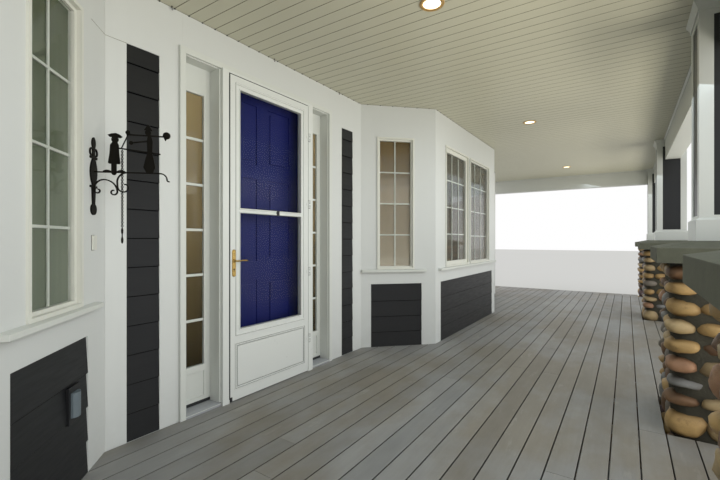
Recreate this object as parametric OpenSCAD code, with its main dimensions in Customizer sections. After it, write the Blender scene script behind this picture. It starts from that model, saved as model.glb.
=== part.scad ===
// Front porch: a deck along a house wall with two three-sided bays, an entry with
// sidelights, box columns on stone piers, a flat board ceiling and a low hipped roof.
// x runs along the house wall, y into the house, z up. The model stands on z = 0,
// centred on the deck; inside the modules z = 0 is the deck top and y = 0 the wall face.

/* [Layout] */
// Height of the deck above the ground
deck_h = 190; // [140:10:400]
// Depth of the deck from the house wall to its front edge
deck_depth = 3060; // [2600:10:3600]
// Distance from the entry axis to each house corner
house_half = 6960; // [6700:10:7600]
// Width of the deck round each house corner
side_run = 1530; // [1300:10:2000]
// Length of the side decks behind the wall face
side_back = 600; // [400:10:1200]
// Height of the wall between the entry head and the ceiling
over_entry = 260; // [150:5:600]

/* [Deck and ceiling boards] */
// Thickness of the deck boards
deck_t = 28; // [20:1:45]
// Width of a joist or rim board
joist_w = 38; // [30:1:60]
// Spacing of the joists
joist_pitch = 610; // [400:10:800]
// Distance of the rim behind the deck edge
rim_inset = 20; // [10:1:60]
// Thickness of the ceiling boards
ceiling_t = 20; // [12:1:40]

/* [House wall] */
// Thickness of the house wall
wall_t = 200; // [150:5:300]
// Gap left at mitred and scribed joints
scribe = 0.3; // [0.2:0.1:0.5]
// Depth of the pockets that hold the dark siding
pocket_d = 18; // [16:1:30]
// Exposure of one siding course
lap = 195; // [120:5:300]
// Thickness of a siding board at its lower edge
lap_thick = 14; // [8:1:16]
// Thickness of a siding board at its upper edge
lap_thin = 5; // [3:1:8]

/* [Bays] */
// Distance from the entry axis to each bay
bay_start = 1350; // [1300:5:1500]
// How far a bay stands out from the wall
bay_out = 640; // [500:10:800]
// Width of a bay's front
bay_w = 2540; // [2400:10:2800]
// Height of the siding panels under the windows
panel_h = 728; // [500:1:760]
// Margin that a side leaves beside its panel, on average
side_panel_edge = 145; // [100:5:200]
// How far a side panel stands off its window, away from the house
panel_shift = 11; // [0:1:20]
// Margin beside the panel under the front windows
front_panel_edge = 160; // [60:5:300]

/* [Bay windows] */
// Bottom of the window frames above the deck
win_low = 896; // [850:1:1000]
// Height of the fixed glass
glass_h = 1465; // [1200:5:1560]
// Width of the glass in a side window
side_glass_w = 374; // [250:2:420]
// How far the window in a left-hand side stands left of its middle, seen from outside
left_set = 40; // [0:1:60]
// How far the window in a right-hand side stands left of its middle
right_set = 52; // [0:1:60]
// Distance from the left end of a bay front to its opening window
front_left = 315; // [250:5:360]
// Width of the glass in the opening front window
casement_glass_w = 726; // [600:2:760]
// Width of the glass in the fixed front window
picture_glass_w = 884; // [700:2:900]
// Width of the wall between the two front windows
mullion = 64; // [50:2:120]
// Width of the fixed frame round a window
frame_w = 20; // [15:1:35]
// Width of the bead round fixed glass
bead_w = 18; // [12:1:30]
// Width of the sash of the opening window
sash_w = 52; // [40:1:60]
// Depth of the window frame
frame_d = 100; // [80:5:140]
// Distance of the frame's face in front of the wall
frame_proud = 12; // [5:1:20]
// Distance of the sash and bead behind the frame's face
sash_back = 25; // [15:1:30]
// Distance of the glass behind the frame's face
glass_back = 40; // [35:1:50]
// Thickness of the double glazing
pane_t = 20; // [12:1:28]
// Projection of a sill
sill_out = 42; // [30:1:60]
// Thickness of a sill
sill_t = 29; // [20:1:45]
// Fall of a sill's top from the wall to its edge
sill_fall = 4; // [2:1:8]
// Distance of a side sill from the left end of its side, seen from outside
sill_left = 6; // [1:1:60]
// Distance of a side sill from the right end of its side
sill_right = 124; // [20:1:150]
// Distance of a front sill from the ends of the bay front
front_sill_edge = 90; // [20:1:150]

/* [Entry] */
// Centre of the entry from the middle between the bays
entry_x = -54; // [-60:1:60]
// Clear width between the door posts
door_clear = 916; // [860:2:960]
// Height of the door opening above the deck
door_h = 2520; // [2440:5:2600]
// Width of the posts beside the door
post_w = 63; // [50:1:80]
// Width of a sidelight unit
side_light_w = 265; // [200:5:300]
// Thickness of the outer jambs and of the head
jamb_t = 25; // [20:1:35]
// Width of the casing
casing_w = 42; // [35:1:80]
// Thickness of the casing
casing_t = 20; // [14:1:24]
// Strip of jamb left open beside the casing
reveal = 7; // [5:1:15]
// Height of the metal threshold
threshold_h = 25; // [18:1:40]
// Middle between the siding strips from the middle between the bays
strip_x = -25; // [-60:1:60]
// Distance from that middle to the siding strips
strip_in = 999; // [960:1:1060]
// Width of the siding strips
strip_w = 205; // [150:5:220]
// How far the siding strips reach above the door opening
strip_over = -75; // [-100:5:120]

/* [Sidelights] */
// Depth of the sidelights behind the wall face
light_back = 100; // [60:5:130]
// Thickness of the sidelight sash
light_t = 45; // [35:1:55]
// Width of the sidelight glass
light_glass_w = 165; // [120:5:180]
// Bottom of the sidelight glass
light_glass_low = 310; // [250:5:500]
// Height of the wood above the sidelight glass
light_top_rail = 200; // [100:5:300]

/* [Storm door] */
// Running gap round the door leaves
leaf_gap = 6; // [5:1:8]
// Thickness of the storm door's lining
lining_t = 10; // [8:1:14]
// Thickness of the storm door leaf
storm_t = 32; // [28:1:40]
// How far the leaf's face stands in front of the wall
storm_out = 40; // [36:1:60]
// Width of the leaf's stiles
storm_stile = 64; // [50:1:80]
// Width of the moulding that holds the glass
retainer = 34; // [20:1:45]
// Bottom of the lower glass
storm_glass_low = 550; // [480:5:700]
// Bottom of the middle rail
mid_rail_z = 1450; // [1200:5:1600]
// Height of the middle rail
mid_rail_h = 40; // [30:1:60]
// Height of the leaf's top rail
storm_top_rail = 65; // [50:1:80]
// Bottom of the pressed kick panel
kick_low = 110; // [90:5:160]
// Top of the pressed kick panel
kick_top = 425; // [300:5:440]
// Height of the lever above the deck
lever_z = 1080; // [1020:5:1130]
// Length of the lever
lever_len = 105; // [80:5:130]
// Radius of the hinge knuckles
knuckle_r = 4.5; // [3.5:0.5:6]

/* [Entry door] */
// Thickness of the entry door
door_t = 45; // [40:1:55]
// Face of the entry door behind the wall face
door_back = 100; // [90:5:120]
// Height of the knob above the deck
knob_z = 985; // [900:5:1100]

/* [Columns and piers] */
// Distance from the entry axis to the columns beside the steps
col_near = 1120; // [1050:10:1500]
// Distance from the entry axis to the middle columns
col_mid = 5490; // [4800:10:6200]
// Distance of the column line outside the deck edge
col_out = 50; // [20:5:100]
// Width of a column
col_w = 365; // [320:5:400]
// Width of a column's corner boards
corner_w = 74; // [60:1:90]
// Depth of the column panels
col_panel_d = 14; // [12:1:20]
// Thickness of the dark boards in the column panels
dark_t = 8; // [5:1:10]
// Distance of the column panels above the base block
col_panel_base = 17; // [5:1:150]
// Distance of the column panels below the ceiling
col_panel_drop = 110; // [80:5:300]
// Projection of a column's base block
base_out = 18; // [12:1:30]
// Height of the base block
base_h = 150; // [100:1:155]
// Projection of the crown under the ceiling
crown_out = 28; // [20:1:44]
// Height of the crown
crown_h = 75; // [60:5:110]
// Width of a stone pier
pier_w = 740; // [640:5:760]
// Underside of a pier cap above the deck
cap_low = 1095; // [1000:5:1110]
// Width of a pier cap
cap_w = 830; // [780:5:900]
// Thickness of a cap at its edge
cap_edge = 95; // [70:1:120]
// Rise of the sloped cap top
cap_wash = 45; // [25:1:70]

/* [Beams and roof] */
// Width of the beams
beam_w = 190; // [140:5:220]
// Height of the beams
beam_h = 315; // [200:5:360]
// How far the beams sit outside the column line
beam_set = 16; // [0:1:30]
// Overhang of the roof beyond the beams
eave = 180; // [175:5:400]
// Distance of the fascia behind the roof edge
fascia_in = 25; // [15:1:30]
// Thickness of the fascia
fascia_t = 20; // [16:1:25]
// Height of the fascia
fascia_h = 190; // [160:5:240]
// How far the fascia hangs below the ceiling
fascia_drop = 35; // [20:5:60]
// Rise of the roof for each unit of run
roof_pitch = 0.333; // [0.25:0.001:0.5]
// Height of the roof build-up, measured upright
roof_t = 60; // [40:5:120]

/* [Bell bracket and small fittings] */
// Distance of the bell bracket from the inner corner of the bay
bell_s = 153; // [90:1:170]
// Height of the bracket's arm above the deck
bell_arm_z = 1618; // [1580:1:1660]
// Length of the bracket's arm
bell_arm = 344; // [320:2:420]
// Thickness of the bracket's flat iron
iron_t = 8; // [5:1:12]
// Width of the arm, the rods and the scroll bars
iron_w = 7; // [5:1:10]
// Radius of the bell
bell_r = 20; // [15:1:25]
// Distance of the pull chain from the wall
chain_u = 150; // [144:1:160]
// Length of the pull chain
chain_len = 430; // [300:5:520]
// Length of the handle on the chain
pull_len = 92; // [70:1:120]
// Distance of the step light from the inner corner of the bay
step_s = 320; // [250:5:500]
// Bottom of the step light above the deck
step_z = 340; // [330:5:420]
// Width of the step light
step_w = 100; // [80:2:120]
// Height of the step light
step_h = 180; // [150:5:200]
// Bottom of the doorbell above the deck
button_z = 1185; // [1150:5:1280]
// Width of the doorbell
button_w = 34; // [28:1:40]
// Height of the doorbell
button_h = 80; // [60:2:100]
// Radius of a downlight's trim ring
light_r = 82; // [70:1:95]
// Distance of the downlights from the house wall
light_row = 1467; // [1200:1:1700]
// Distance of the middle downlights from the entry axis
light_mid = 3180; // [2500:10:3600]
// Distance of the end downlights from the entry axis
light_end = 7070; // [6200:10:7600]

/* [Hidden] */
eps = 1;
side_len = bay_out * sqrt(2);
mitre = wall_t * tan(22.5);
ceiling_h = door_h + jamb_t + over_entry;
bay_end = bay_start + 2 * bay_out + bay_w;
deck_half = house_half + side_run;
col_y = -(deck_depth + col_out);
col_end = deck_half + col_out;
cols = [for (s = [-1, 1]) for (x = [col_near, col_mid, col_end]) s * x];
cap_top = cap_low + cap_edge + cap_wash;
col_panel_low = cap_top + base_h + col_panel_base;
col_panel_top = ceiling_h - col_panel_drop;
base_w = col_w + 2 * base_out;
beam_y = col_y - beam_set;
beam_end = col_end + beam_set;
beam_low = ceiling_h - beam_h;
eave_y = beam_y - beam_w / 2 - eave;
eave_x = beam_end + beam_w / 2 + eave;
fascia_low = ceiling_h - fascia_drop;
rafter_z = fascia_low + fascia_h - fascia_in * roof_pitch;
roof_run = side_back - eave_y;
front_reach = max(-eave_y, -col_y + cap_w / 2);
wall_y = (front_reach - side_back) / 2;
win_h = glass_h + 2 * (frame_w + bead_w);
side_win_w = side_glass_w + 2 * (frame_w + bead_w);
side_panel_w = side_len - 2 * side_panel_edge;
front_panel_w = bay_w - 2 * front_panel_edge;
casement_w = casement_glass_w + 2 * (frame_w + sash_w);
picture_w = picture_glass_w + 2 * (frame_w + bead_w);
casement_mid = front_left + casement_w / 2;
picture_mid = front_left + casement_w + mullion + picture_w / 2;
crown_band = 8;
crown_top = 12;
base_slope = 15;
door_half = door_clear / 2;
light_in = door_half + post_w;
entry_half = light_in + side_light_w + jamb_t;
casing_in = entry_half - jamb_t + reveal;
flange_back = 12;
head_z = door_h + jamb_t;
stop_w = 12;
stop_d = 34;
nose_out = 60;
stop_y = door_back - leaf_gap;
storm_half = door_half - lining_t - leaf_gap;
storm_low = threshold_h + 10;
storm_top = door_h - lining_t - leaf_gap;
storm_glass_top = storm_top - storm_top_rail - retainer;
light_glass_top = door_h - light_top_rail;
strip_h = door_h + strip_over;
pin_x = storm_half + 2.5;
pin_y = -storm_out - knuckle_r - 1;
hinge_h = 72;
hinge_rise = 241;
hinge_drop = 260;
butt_rise = 220;
butt_drop = 300;
hinge_leaf = 24;
hinge_gap = 0.3;
hinge_low = storm_low + hinge_rise;
hinge_high = storm_top - hinge_drop - hinge_h;
storm_hinge_zs = [for (i = [0:3]) hinge_low + i * (hinge_high - hinge_low) / 3];
leaf_half = door_half - leaf_gap - 2;
butt_r = 4;
butt_h = 99;
butt_y = door_back + door_t + 6;
entry_hinge_zs = [for (i = [0:2]) butt_rise + i * (door_h - butt_rise - butt_drop) / 2];
plate_w = 45;
lever_x = -storm_half + storm_stile / 2;
plate_t = 8;
near_u = 112;
far_u = bell_arm - 57;
rod_v = 128;
pin_r = 4;
link_w = 5;
handle_r = 6.5;
step_t = 14;
step_rim = 18;
step_foot = 30;
button_t = 14;
bell_v = 208;
light_xs = [-light_end, -light_mid, 0, light_mid, light_end];

// Helpers
module at_wall() translate([0, wall_y, deck_h]) children();
module at_entry() at_wall() translate([entry_x, 0, 0]) children();
module both() {
    children();
    mirror([1, 0, 0]) children();
}
// The right bay, and the same bay again at the left
module bays() for (x = [0, -bay_start - bay_end]) translate([x, 0, 0]) children();
module box(low, high) translate(low) cube(high - low);
module along_x(l) rotate([90, 0, 90]) linear_extrude(l) children();
module along_y(l) translate([0, l, 0]) rotate([90, 0, 0]) linear_extrude(l) children();
// A block that narrows from one square to another
module frustum(w0, w1, h) {
    outline = [[-w0 / 2, 0], [w0 / 2, 0], [w1 / 2, h], [-w1 / 2, h]];
    intersection() {
        translate([-w0 / 2, 0, 0]) along_x(w0) polygon(outline);
        translate([0, -w0 / 2, 0]) along_y(w0) polygon(outline);
    }
}

// Faces of the right bay: x runs along the face, y into the wall
module on_inner_side() translate([bay_start, 0, 0]) rotate([0, 0, -45]) children();
module on_front() translate([bay_start + bay_out, -bay_out, 0]) children();
module on_outer_side() translate([bay_end - bay_out, -bay_out, 0]) rotate([0, 0, 45]) children();
// k is -1 on the left-hand side of a bay and 1 on the right-hand side, seen from outside
module on_side(k) {
    if (k < 0) on_inner_side() children();
    else on_outer_side() children();
}
function side_mid(k) = side_len / 2 - (k < 0 ? left_set : right_set);
function side_panel_x(k) = side_mid(k) - k * panel_shift - side_panel_w / 2;

// A length of house wall with mitred ends, from the ground to the ceiling
module wall_slab(l, k0, k1) translate([0, 0, -deck_h])
    linear_extrude(deck_h + ceiling_h - scribe) polygon([[scribe, 0], [l - scribe, 0],
        [l - scribe + k1 * mitre, wall_t], [scribe + k0 * mitre, wall_t]]);
module window_hole(x, w)
    box([x - w / 2, -eps, win_low], [x + w / 2, wall_t + eps, win_low + win_h]);
module pocket(x, w, h) box([x, -eps, 0], [x + w, pocket_d, h]);

// Lapped boards that stand in a pocket
module lap_siding(x, w, h) {
    n = ceil(h / lap);
    front = [for (i = [0:n - 1]) for (k = [0, 1])
        let (z = min((i + k) * lap, h), share = (z - i * lap) / lap)
        [pocket_d - lap_thick + share * (lap_thick - lap_thin), z]];
    translate([x, 0, 0]) along_x(w) polygon(concat([[pocket_d, 0]], front, [[pocket_d, h]]));
}

// Deck, drawn inside its edge by an inset
module bay_cut(grow) {
    x0 = bay_start - grow * sqrt(2);
    x1 = bay_start + bay_end - x0;
    polygon([[x0 - eps, eps], [x0 + bay_out + grow, -bay_out - grow],
        [x1 - bay_out - grow, -bay_out - grow], [x1 + eps, eps]]);
}
module deck_plan(inset) difference() {
    translate([-deck_half + inset, -deck_depth + inset])
        square([2 * (deck_half - inset), deck_depth - 2 * inset]);
    both() bay_cut(inset);
    for (x = cols) translate([x, col_y]) square(pier_w + 2 * inset, center = true);
}
// The deck beside the house corner, behind the line of the wall
module side_deck_plan(inset, low) for (x = [house_half + inset, inset - deck_half])
    translate([x, low]) square([side_run - 2 * inset, side_back - inset - low]);
module deck_floor() color("gray") at_wall() translate([0, 0, -deck_t])
    linear_extrude(deck_t) difference() {
        union() {
            deck_plan(0);
            side_deck_plan(0, -eps);
        }
        for (notch = [[casing_in, nose_out], [casing_in + casing_w, casing_t]])
            translate([entry_x - notch[0], -notch[1]]) square([2 * notch[0], notch[1] + eps]);
    }
module deck_frame() color("tan") at_wall() translate([0, 0, -deck_h])
    linear_extrude(deck_h - deck_t) {
        inner = rim_inset + joist_w;
        n = floor((deck_half - rim_inset) / joist_pitch);
        difference() {
            deck_plan(rim_inset);
            deck_plan(inner);
        }
        intersection() {
            deck_plan(rim_inset);
            for (i = [-n:n]) translate([i * joist_pitch - joist_w / 2, -deck_depth])
                square([joist_w, deck_depth]);
        }
        difference() {
            side_deck_plan(rim_inset, scribe - rim_inset);
            side_deck_plan(inner, joist_w - rim_inset);
        }
        for (s = [-1, 1]) translate([s * (house_half + side_run / 2) - joist_w / 2, 0])
            square([joist_w, side_back - inner + eps]);
    }

// House wall
module entry_wall(entry_shift, strip_shift) difference() {
    translate([entry_shift + entry_half, 0, 0])
        wall_slab(bay_start - entry_shift - entry_half, 0, 1);
    pocket(strip_shift + strip_in, strip_w, strip_h);
}
module wall_left() color("whitesmoke") at_wall() mirror([1, 0, 0])
    entry_wall(-entry_x, -strip_x);
module wall_right() color("whitesmoke") at_wall() entry_wall(entry_x, strip_x);
module wall_over_entry() color("whitesmoke") at_entry()
    box([-entry_half, 0, head_z], [entry_half, wall_t, ceiling_h]);
module bay_side_walls() color("whitesmoke") at_wall() bays() for (k = [-1, 1]) on_side(k)
    difference() {
        wall_slab(side_len, k, k);
        window_hole(side_mid(k), side_win_w);
        pocket(side_panel_x(k), side_panel_w, panel_h);
    }
module bay_front_walls() color("whitesmoke") at_wall() bays() on_front() difference() {
    wall_slab(bay_w, 1, -1);
    window_hole(casement_mid, casement_w);
    window_hole(picture_mid, picture_w);
    pocket(front_panel_edge, front_panel_w, panel_h);
}
module end_walls() color("whitesmoke") at_wall() both() {
    translate([bay_end, 0, 0]) wall_slab(house_half - bay_end, -1, 0);
    box([house_half - wall_t, wall_t, -deck_h], [house_half, side_back, ceiling_h]);
}
// Everything under the roof planes, raised by dz
module under_roof(dz, low) {
    top = rafter_z + dz;
    intersection() {
        translate([-eave_x, 0, 0]) along_x(2 * eave_x) polygon([[eave_y, low], [eave_y, top],
            [side_back, top + roof_run * roof_pitch], [side_back, low]]);
        translate([0, eave_y, 0]) along_y(roof_run) polygon([[-eave_x, low], [-eave_x, top],
            [roof_run - eave_x, top + roof_run * roof_pitch],
            [eave_x - roof_run, top + roof_run * roof_pitch], [eave_x, top], [eave_x, low]]);
    }
}
module house_room() box([wall_t - house_half, wall_t, ceiling_h - eps],
    [house_half - wall_t, side_back + eps, ceiling_h + 3 * roof_run]);
module upper_wall() color("whitesmoke") at_wall() difference() {
    intersection() {
        under_roof(0, ceiling_h);
        box([-house_half, 0, ceiling_h], [house_half, side_back, ceiling_h + 3 * roof_run]);
    }
    house_room();
}
module room_floors() color("burlywood") at_wall() {
    x0 = bay_start + mitre + 2 * scribe;
    x1 = bay_end - mitre - 2 * scribe;
    both() translate([0, 0, -deck_t]) linear_extrude(deck_t)
        polygon([[x0, wall_t], [x0 + bay_out, wall_t - bay_out],
            [x1 - bay_out, wall_t - bay_out], [x1, wall_t]]);
    box([entry_x - entry_half, 0, -deck_h], [entry_x + entry_half, wall_t, 0]);
}

// Windows, each a frame with a recessed border of sash or bead round the glass
module window_frame(x, w, border) {
    top = win_low + win_h;
    pane_in = frame_w + border;
    difference() {
        box([x - w / 2, -frame_proud, win_low], [x + w / 2, frame_d - frame_proud, top]);
        box([x - w / 2 + pane_in, -frame_d, win_low + pane_in],
            [x + w / 2 - pane_in, frame_d, top - pane_in]);
        box([x - w / 2 + frame_w, -frame_proud - eps, win_low + frame_w],
            [x + w / 2 - frame_w, sash_back - frame_proud, top - frame_w]);
    }
}
module window_pane(x, w, border) {
    y0 = glass_back - frame_proud;
    pane_in = frame_w + border;
    box([x - w / 2 + pane_in, y0, win_low + pane_in],
        [x + w / 2 - pane_in, y0 + pane_t, win_low + win_h - pane_in]);
}
module bay_side_frames() color("white") at_wall() bays() for (k = [-1, 1]) on_side(k)
    window_frame(side_mid(k), side_win_w, bead_w);
module bay_side_glass() color("slategray") at_wall() bays() for (k = [-1, 1]) on_side(k)
    window_pane(side_mid(k), side_win_w, bead_w);
module bay_front_frames() color("white") at_wall() bays() on_front() {
    window_frame(casement_mid, casement_w, sash_w);
    window_frame(picture_mid, picture_w, bead_w);
}
module bay_front_glass() color("slategray") at_wall() bays() on_front() {
    window_pane(casement_mid, casement_w, sash_w);
    window_pane(picture_mid, picture_w, bead_w);
}
module sill(low, high) translate([low, 0, win_low]) along_x(high - low)
    polygon([[0, 0], [-sill_out, -sill_fall], [-sill_out, -sill_t], [0, -sill_t]]);
module window_sills() color("white") at_wall() bays() {
    for (k = [-1, 1]) on_side(k) sill(sill_left, side_len - sill_right);
    on_front() sill(front_sill_edge, bay_w - front_sill_edge);
}
module siding_strips() color("dimgray") at_wall() {
    lap_siding(strip_x + strip_in, strip_w, strip_h);
    lap_siding(strip_x - strip_in - strip_w, strip_w, strip_h);
}
module bay_panels() color("dimgray") at_wall() bays() {
    for (k = [-1, 1]) on_side(k) lap_siding(side_panel_x(k), side_panel_w, panel_h);
    on_front() lap_siding(front_panel_edge, front_panel_w, panel_h);
}

// Entry
module entry_casing() color("white") at_entry() {
    in = casing_in;
    out = casing_in + casing_w;
    low = door_h + reveal;
    translate([0, -casing_t, 0]) along_y(casing_t)
        polygon([[-out, 0], [-in, 0], [-in, low], [in, low], [in, 0], [out, 0],
            [out, low + casing_w], [-out, low + casing_w]]);
}
module entry_posts() color("white") at_entry() both() {
    box([entry_half - jamb_t, 0, threshold_h], [entry_half, wall_t, door_h]);
    translate([0, 0, threshold_h]) linear_extrude(door_h - threshold_h)
        polygon([[door_half, -frame_proud], [light_in, -frame_proud], [light_in, wall_t],
            [door_half, wall_t], [door_half, stop_y], [door_half - stop_w, stop_y],
            [door_half - stop_w, stop_y - stop_d], [door_half, stop_y - stop_d]]);
}
module entry_head() color("white") at_entry() {
    box([-entry_half, 0, door_h], [entry_half, wall_t, head_z]);
    box([stop_w - door_half, stop_y - stop_d, door_h - stop_w],
        [door_half - stop_w, stop_y, door_h]);
}
module sidelight_frames() color("white") at_entry() both() {
    x0 = light_in;
    x1 = light_in + side_light_w;
    stile = (side_light_w - light_glass_w) / 2;
    difference() {
        box([x0, light_back, threshold_h], [x1, light_back + light_t, door_h]);
        box([x0 + stile, 0, light_glass_low], [x1 - stile, wall_t, light_glass_top]);
        box([x0 + stile, 0, threshold_h + stile],
            [x1 - stile, light_back + 8, light_glass_low - stile]);
    }
}
module sidelight_glass() color("slategray") at_entry() both() {
    x0 = light_in + (side_light_w - light_glass_w) / 2;
    y0 = light_back + light_t / 2 - 4;
    box([x0, y0, light_glass_low], [x0 + light_glass_w, y0 + 8, light_glass_top]);
}
module threshold() color("darkgray") at_entry() {
    translate([-entry_half, 0, 0]) cube([2 * entry_half, wall_t, threshold_h]);
    translate([-casing_in, 0, 0]) along_x(2 * casing_in)
        polygon([[-nose_out, 0], [-nose_out, 6], [-nose_out / 2, threshold_h],
            [eps, threshold_h], [eps, 0]]);
}

// Storm door
module storm_frame() color("white") at_entry() translate([0, 0, threshold_h]) {
    in = door_half - lining_t;
    top = door_h - threshold_h;
    face = door_half + post_w - flange_back;
    difference() {
        union() {
            box([-door_half, -storm_out, 0], [door_half, 50, top]);
            box([-face, -storm_out, 0], [face, -frame_proud, top + reveal]);
        }
        box([-in, -storm_out - eps, -eps], [in, 50 + eps, top - lining_t]);
    }
}
// One hinge is three knuckles: the outer two on the frame, the middle one on the leaf
module knuckle(low, high, side) {
    translate([pin_x, pin_y, low]) cylinder(r = knuckle_r, h = high - low, $fn = 24);
    box([pin_x + min(0, side * hinge_leaf), -storm_out - 3, low],
        [pin_x + max(0, side * hinge_leaf), -storm_out, high]);
}
module storm_hinges() color("white") at_entry() for (z = storm_hinge_zs) {
    knuckle(z, z + hinge_h / 3, 1);
    knuckle(z + 2 * hinge_h / 3, z + hinge_h, 1);
}
module storm_door() color("white") at_entry() {
    y0 = -storm_out;
    y1 = storm_t - storm_out;
    in = storm_half - storm_stile;
    pane = in - retainer;
    difference() {
        box([-storm_half, y0, storm_low], [storm_half, y1, storm_top]);
        for (z = [[storm_glass_low, mid_rail_z], [mid_rail_z + mid_rail_h, storm_glass_top]])
            box([-pane, y0 - eps, z[0]], [pane, y1 + eps, z[1]]);
        box([-in, y0 - eps, storm_glass_low - retainer], [in, y0 + 4, storm_glass_top + retainer]);
        difference() {
            box([-in, y0 - eps, kick_low], [in, y0 + 6, kick_top]);
            translate([0, y0 + 6, (kick_low + kick_top) / 2]) rotate([90, 0, 0])
                linear_extrude(6) square([2 * in - 60, kick_top - kick_low - 60], center = true);
        }
    }
    for (z = storm_hinge_zs)
        knuckle(z + hinge_h / 3 + hinge_gap, z + 2 * hinge_h / 3 - hinge_gap, -1);
}
module storm_glass() color("lightsteelblue") at_entry() {
    pane = storm_half - storm_stile - retainer;
    y0 = storm_t / 2 - storm_out;
    box([-pane, y0, storm_glass_low], [pane, y0 + 5, mid_rail_z]);
    box([-pane, y0, mid_rail_z + mid_rail_h], [pane, y0 + 5, storm_glass_top]);
}
module storm_plate() color("goldenrod") at_entry() translate([lever_x, -storm_out, lever_z]) {
    box([-plate_w / 2, -6, -100], [plate_w / 2, 0, 65]);
    for (z = [-100, 65]) translate([0, 0, z]) rotate([90, 0, 0])
        cylinder(r = plate_w / 2, h = 6, $fn = 32);
}
module storm_lever() color("goldenrod") at_entry()
    translate([lever_x, -storm_out - 6.3, lever_z]) {
        rotate([90, 0, 0]) cylinder(r = 13, h = 12, $fn = 32);
        rotate([90, 0, 0]) cylinder(r = 8, h = 44, $fn = 32);
        translate([0, -44, 0]) rotate([0, 90, 0]) cylinder(r = 8, h = lever_len - 8, $fn = 32);
        translate([0, -44, 0]) sphere(r = 8, $fn = 32);
        translate([lever_len - 8, -44, 0]) sphere(r = 8, $fn = 32);
    }

// Entry door
module entry_door() color("navy") at_entry() {
    low = threshold_h + leaf_gap;
    top = door_h - leaf_gap;
    stile = 120;
    rows = [[low + 220, 900], [1060, 1760], [1880, top - 130]];
    w = leaf_half - 1.5 * stile;
    difference() {
        box([-leaf_half, door_back, low], [leaf_half, door_back + door_t, top]);
        for (r = rows) for (x = [-leaf_half + stile, stile / 2])
            for (y = [door_back - eps, door_back + door_t - 8]) difference() {
                box([x, y, r[0]], [x + w, y + 8 + eps, r[1]]);
                box([x + 35, y - 2 * eps, r[0] + 35], [x + w - 35, y + 8 + 2 * eps, r[1] - 35]);
            }
    }
    for (z = entry_hinge_zs) {
        span = [z + butt_h / 3 + hinge_gap, z + 2 * butt_h / 3 - hinge_gap];
        entry_knuckle(span[0], span[1]);
        box([leaf_half - 30, door_back + door_t, span[0]],
            [door_half - butt_r, butt_y - butt_r / 2, span[1]]);
    }
}
module entry_knuckle(low, high) translate([door_half - butt_r, butt_y, low])
    cylinder(r = butt_r, h = high - low, $fn = 24);
module entry_hinges() color("goldenrod") at_entry() for (z = entry_hinge_zs)
    for (low = [z, z + 2 * butt_h / 3]) {
        entry_knuckle(low, low + butt_h / 3);
        box([door_half - 3, butt_y, low], [door_half, wall_t - 5, low + butt_h / 3]);
    }
module entry_knobs() color("goldenrod") at_entry()
    translate([-leaf_half + 65, door_back + door_t / 2, knob_z]) for (a = [90, -90])
        rotate([a, 0, 0]) translate([0, 0, door_t / 2]) {
            cylinder(r = 30, h = 6, $fn = 40);
            cylinder(r = 10, h = 40, $fn = 32);
            translate([0, 0, 38]) scale([1, 1, 0.7]) sphere(r = 27, $fn = 40);
        }

// Overhead
module ceiling() color("ivory") at_wall() translate([0, 0, ceiling_h]) linear_extrude(ceiling_t) {
    x = beam_end + beam_w / 2;
    y = beam_y - beam_w / 2;
    polygon([[-x, y], [x, y], [x, side_back], [house_half, side_back], [house_half, 0],
        [-house_half, 0], [-house_half, side_back], [-x, side_back]]);
}
module downlights() color("white") at_wall()
    for (x = light_xs)
        translate([x, -light_row, ceiling_h]) rotate_extrude($fn = 48)
            polygon([[0, 0], [0, -3], [light_r - 22, -3], [light_r - 16, -8], [light_r - 4, -8],
                [light_r, -4], [light_r, 0]]);
module front_beams() color("white") at_wall() for (i = [0:2]) {
    starts = [-col_near, col_near, col_mid];
    ends = [col_near, col_mid, col_end];
    for (s = i == 0 ? [1] : [-1, 1]) {
        low = min(s * starts[i], s * ends[i]) + col_w / 2;
        high = max(s * starts[i], s * ends[i]) - col_w / 2;
        box([low, beam_y - beam_w / 2, beam_low], [high, beam_y + beam_w / 2, ceiling_h]);
    }
}
module side_beams() color("white") at_wall() both()
    box([beam_end - beam_w / 2, col_y + col_w / 2, beam_low],
        [beam_end + beam_w / 2, side_back, ceiling_h]);

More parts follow.
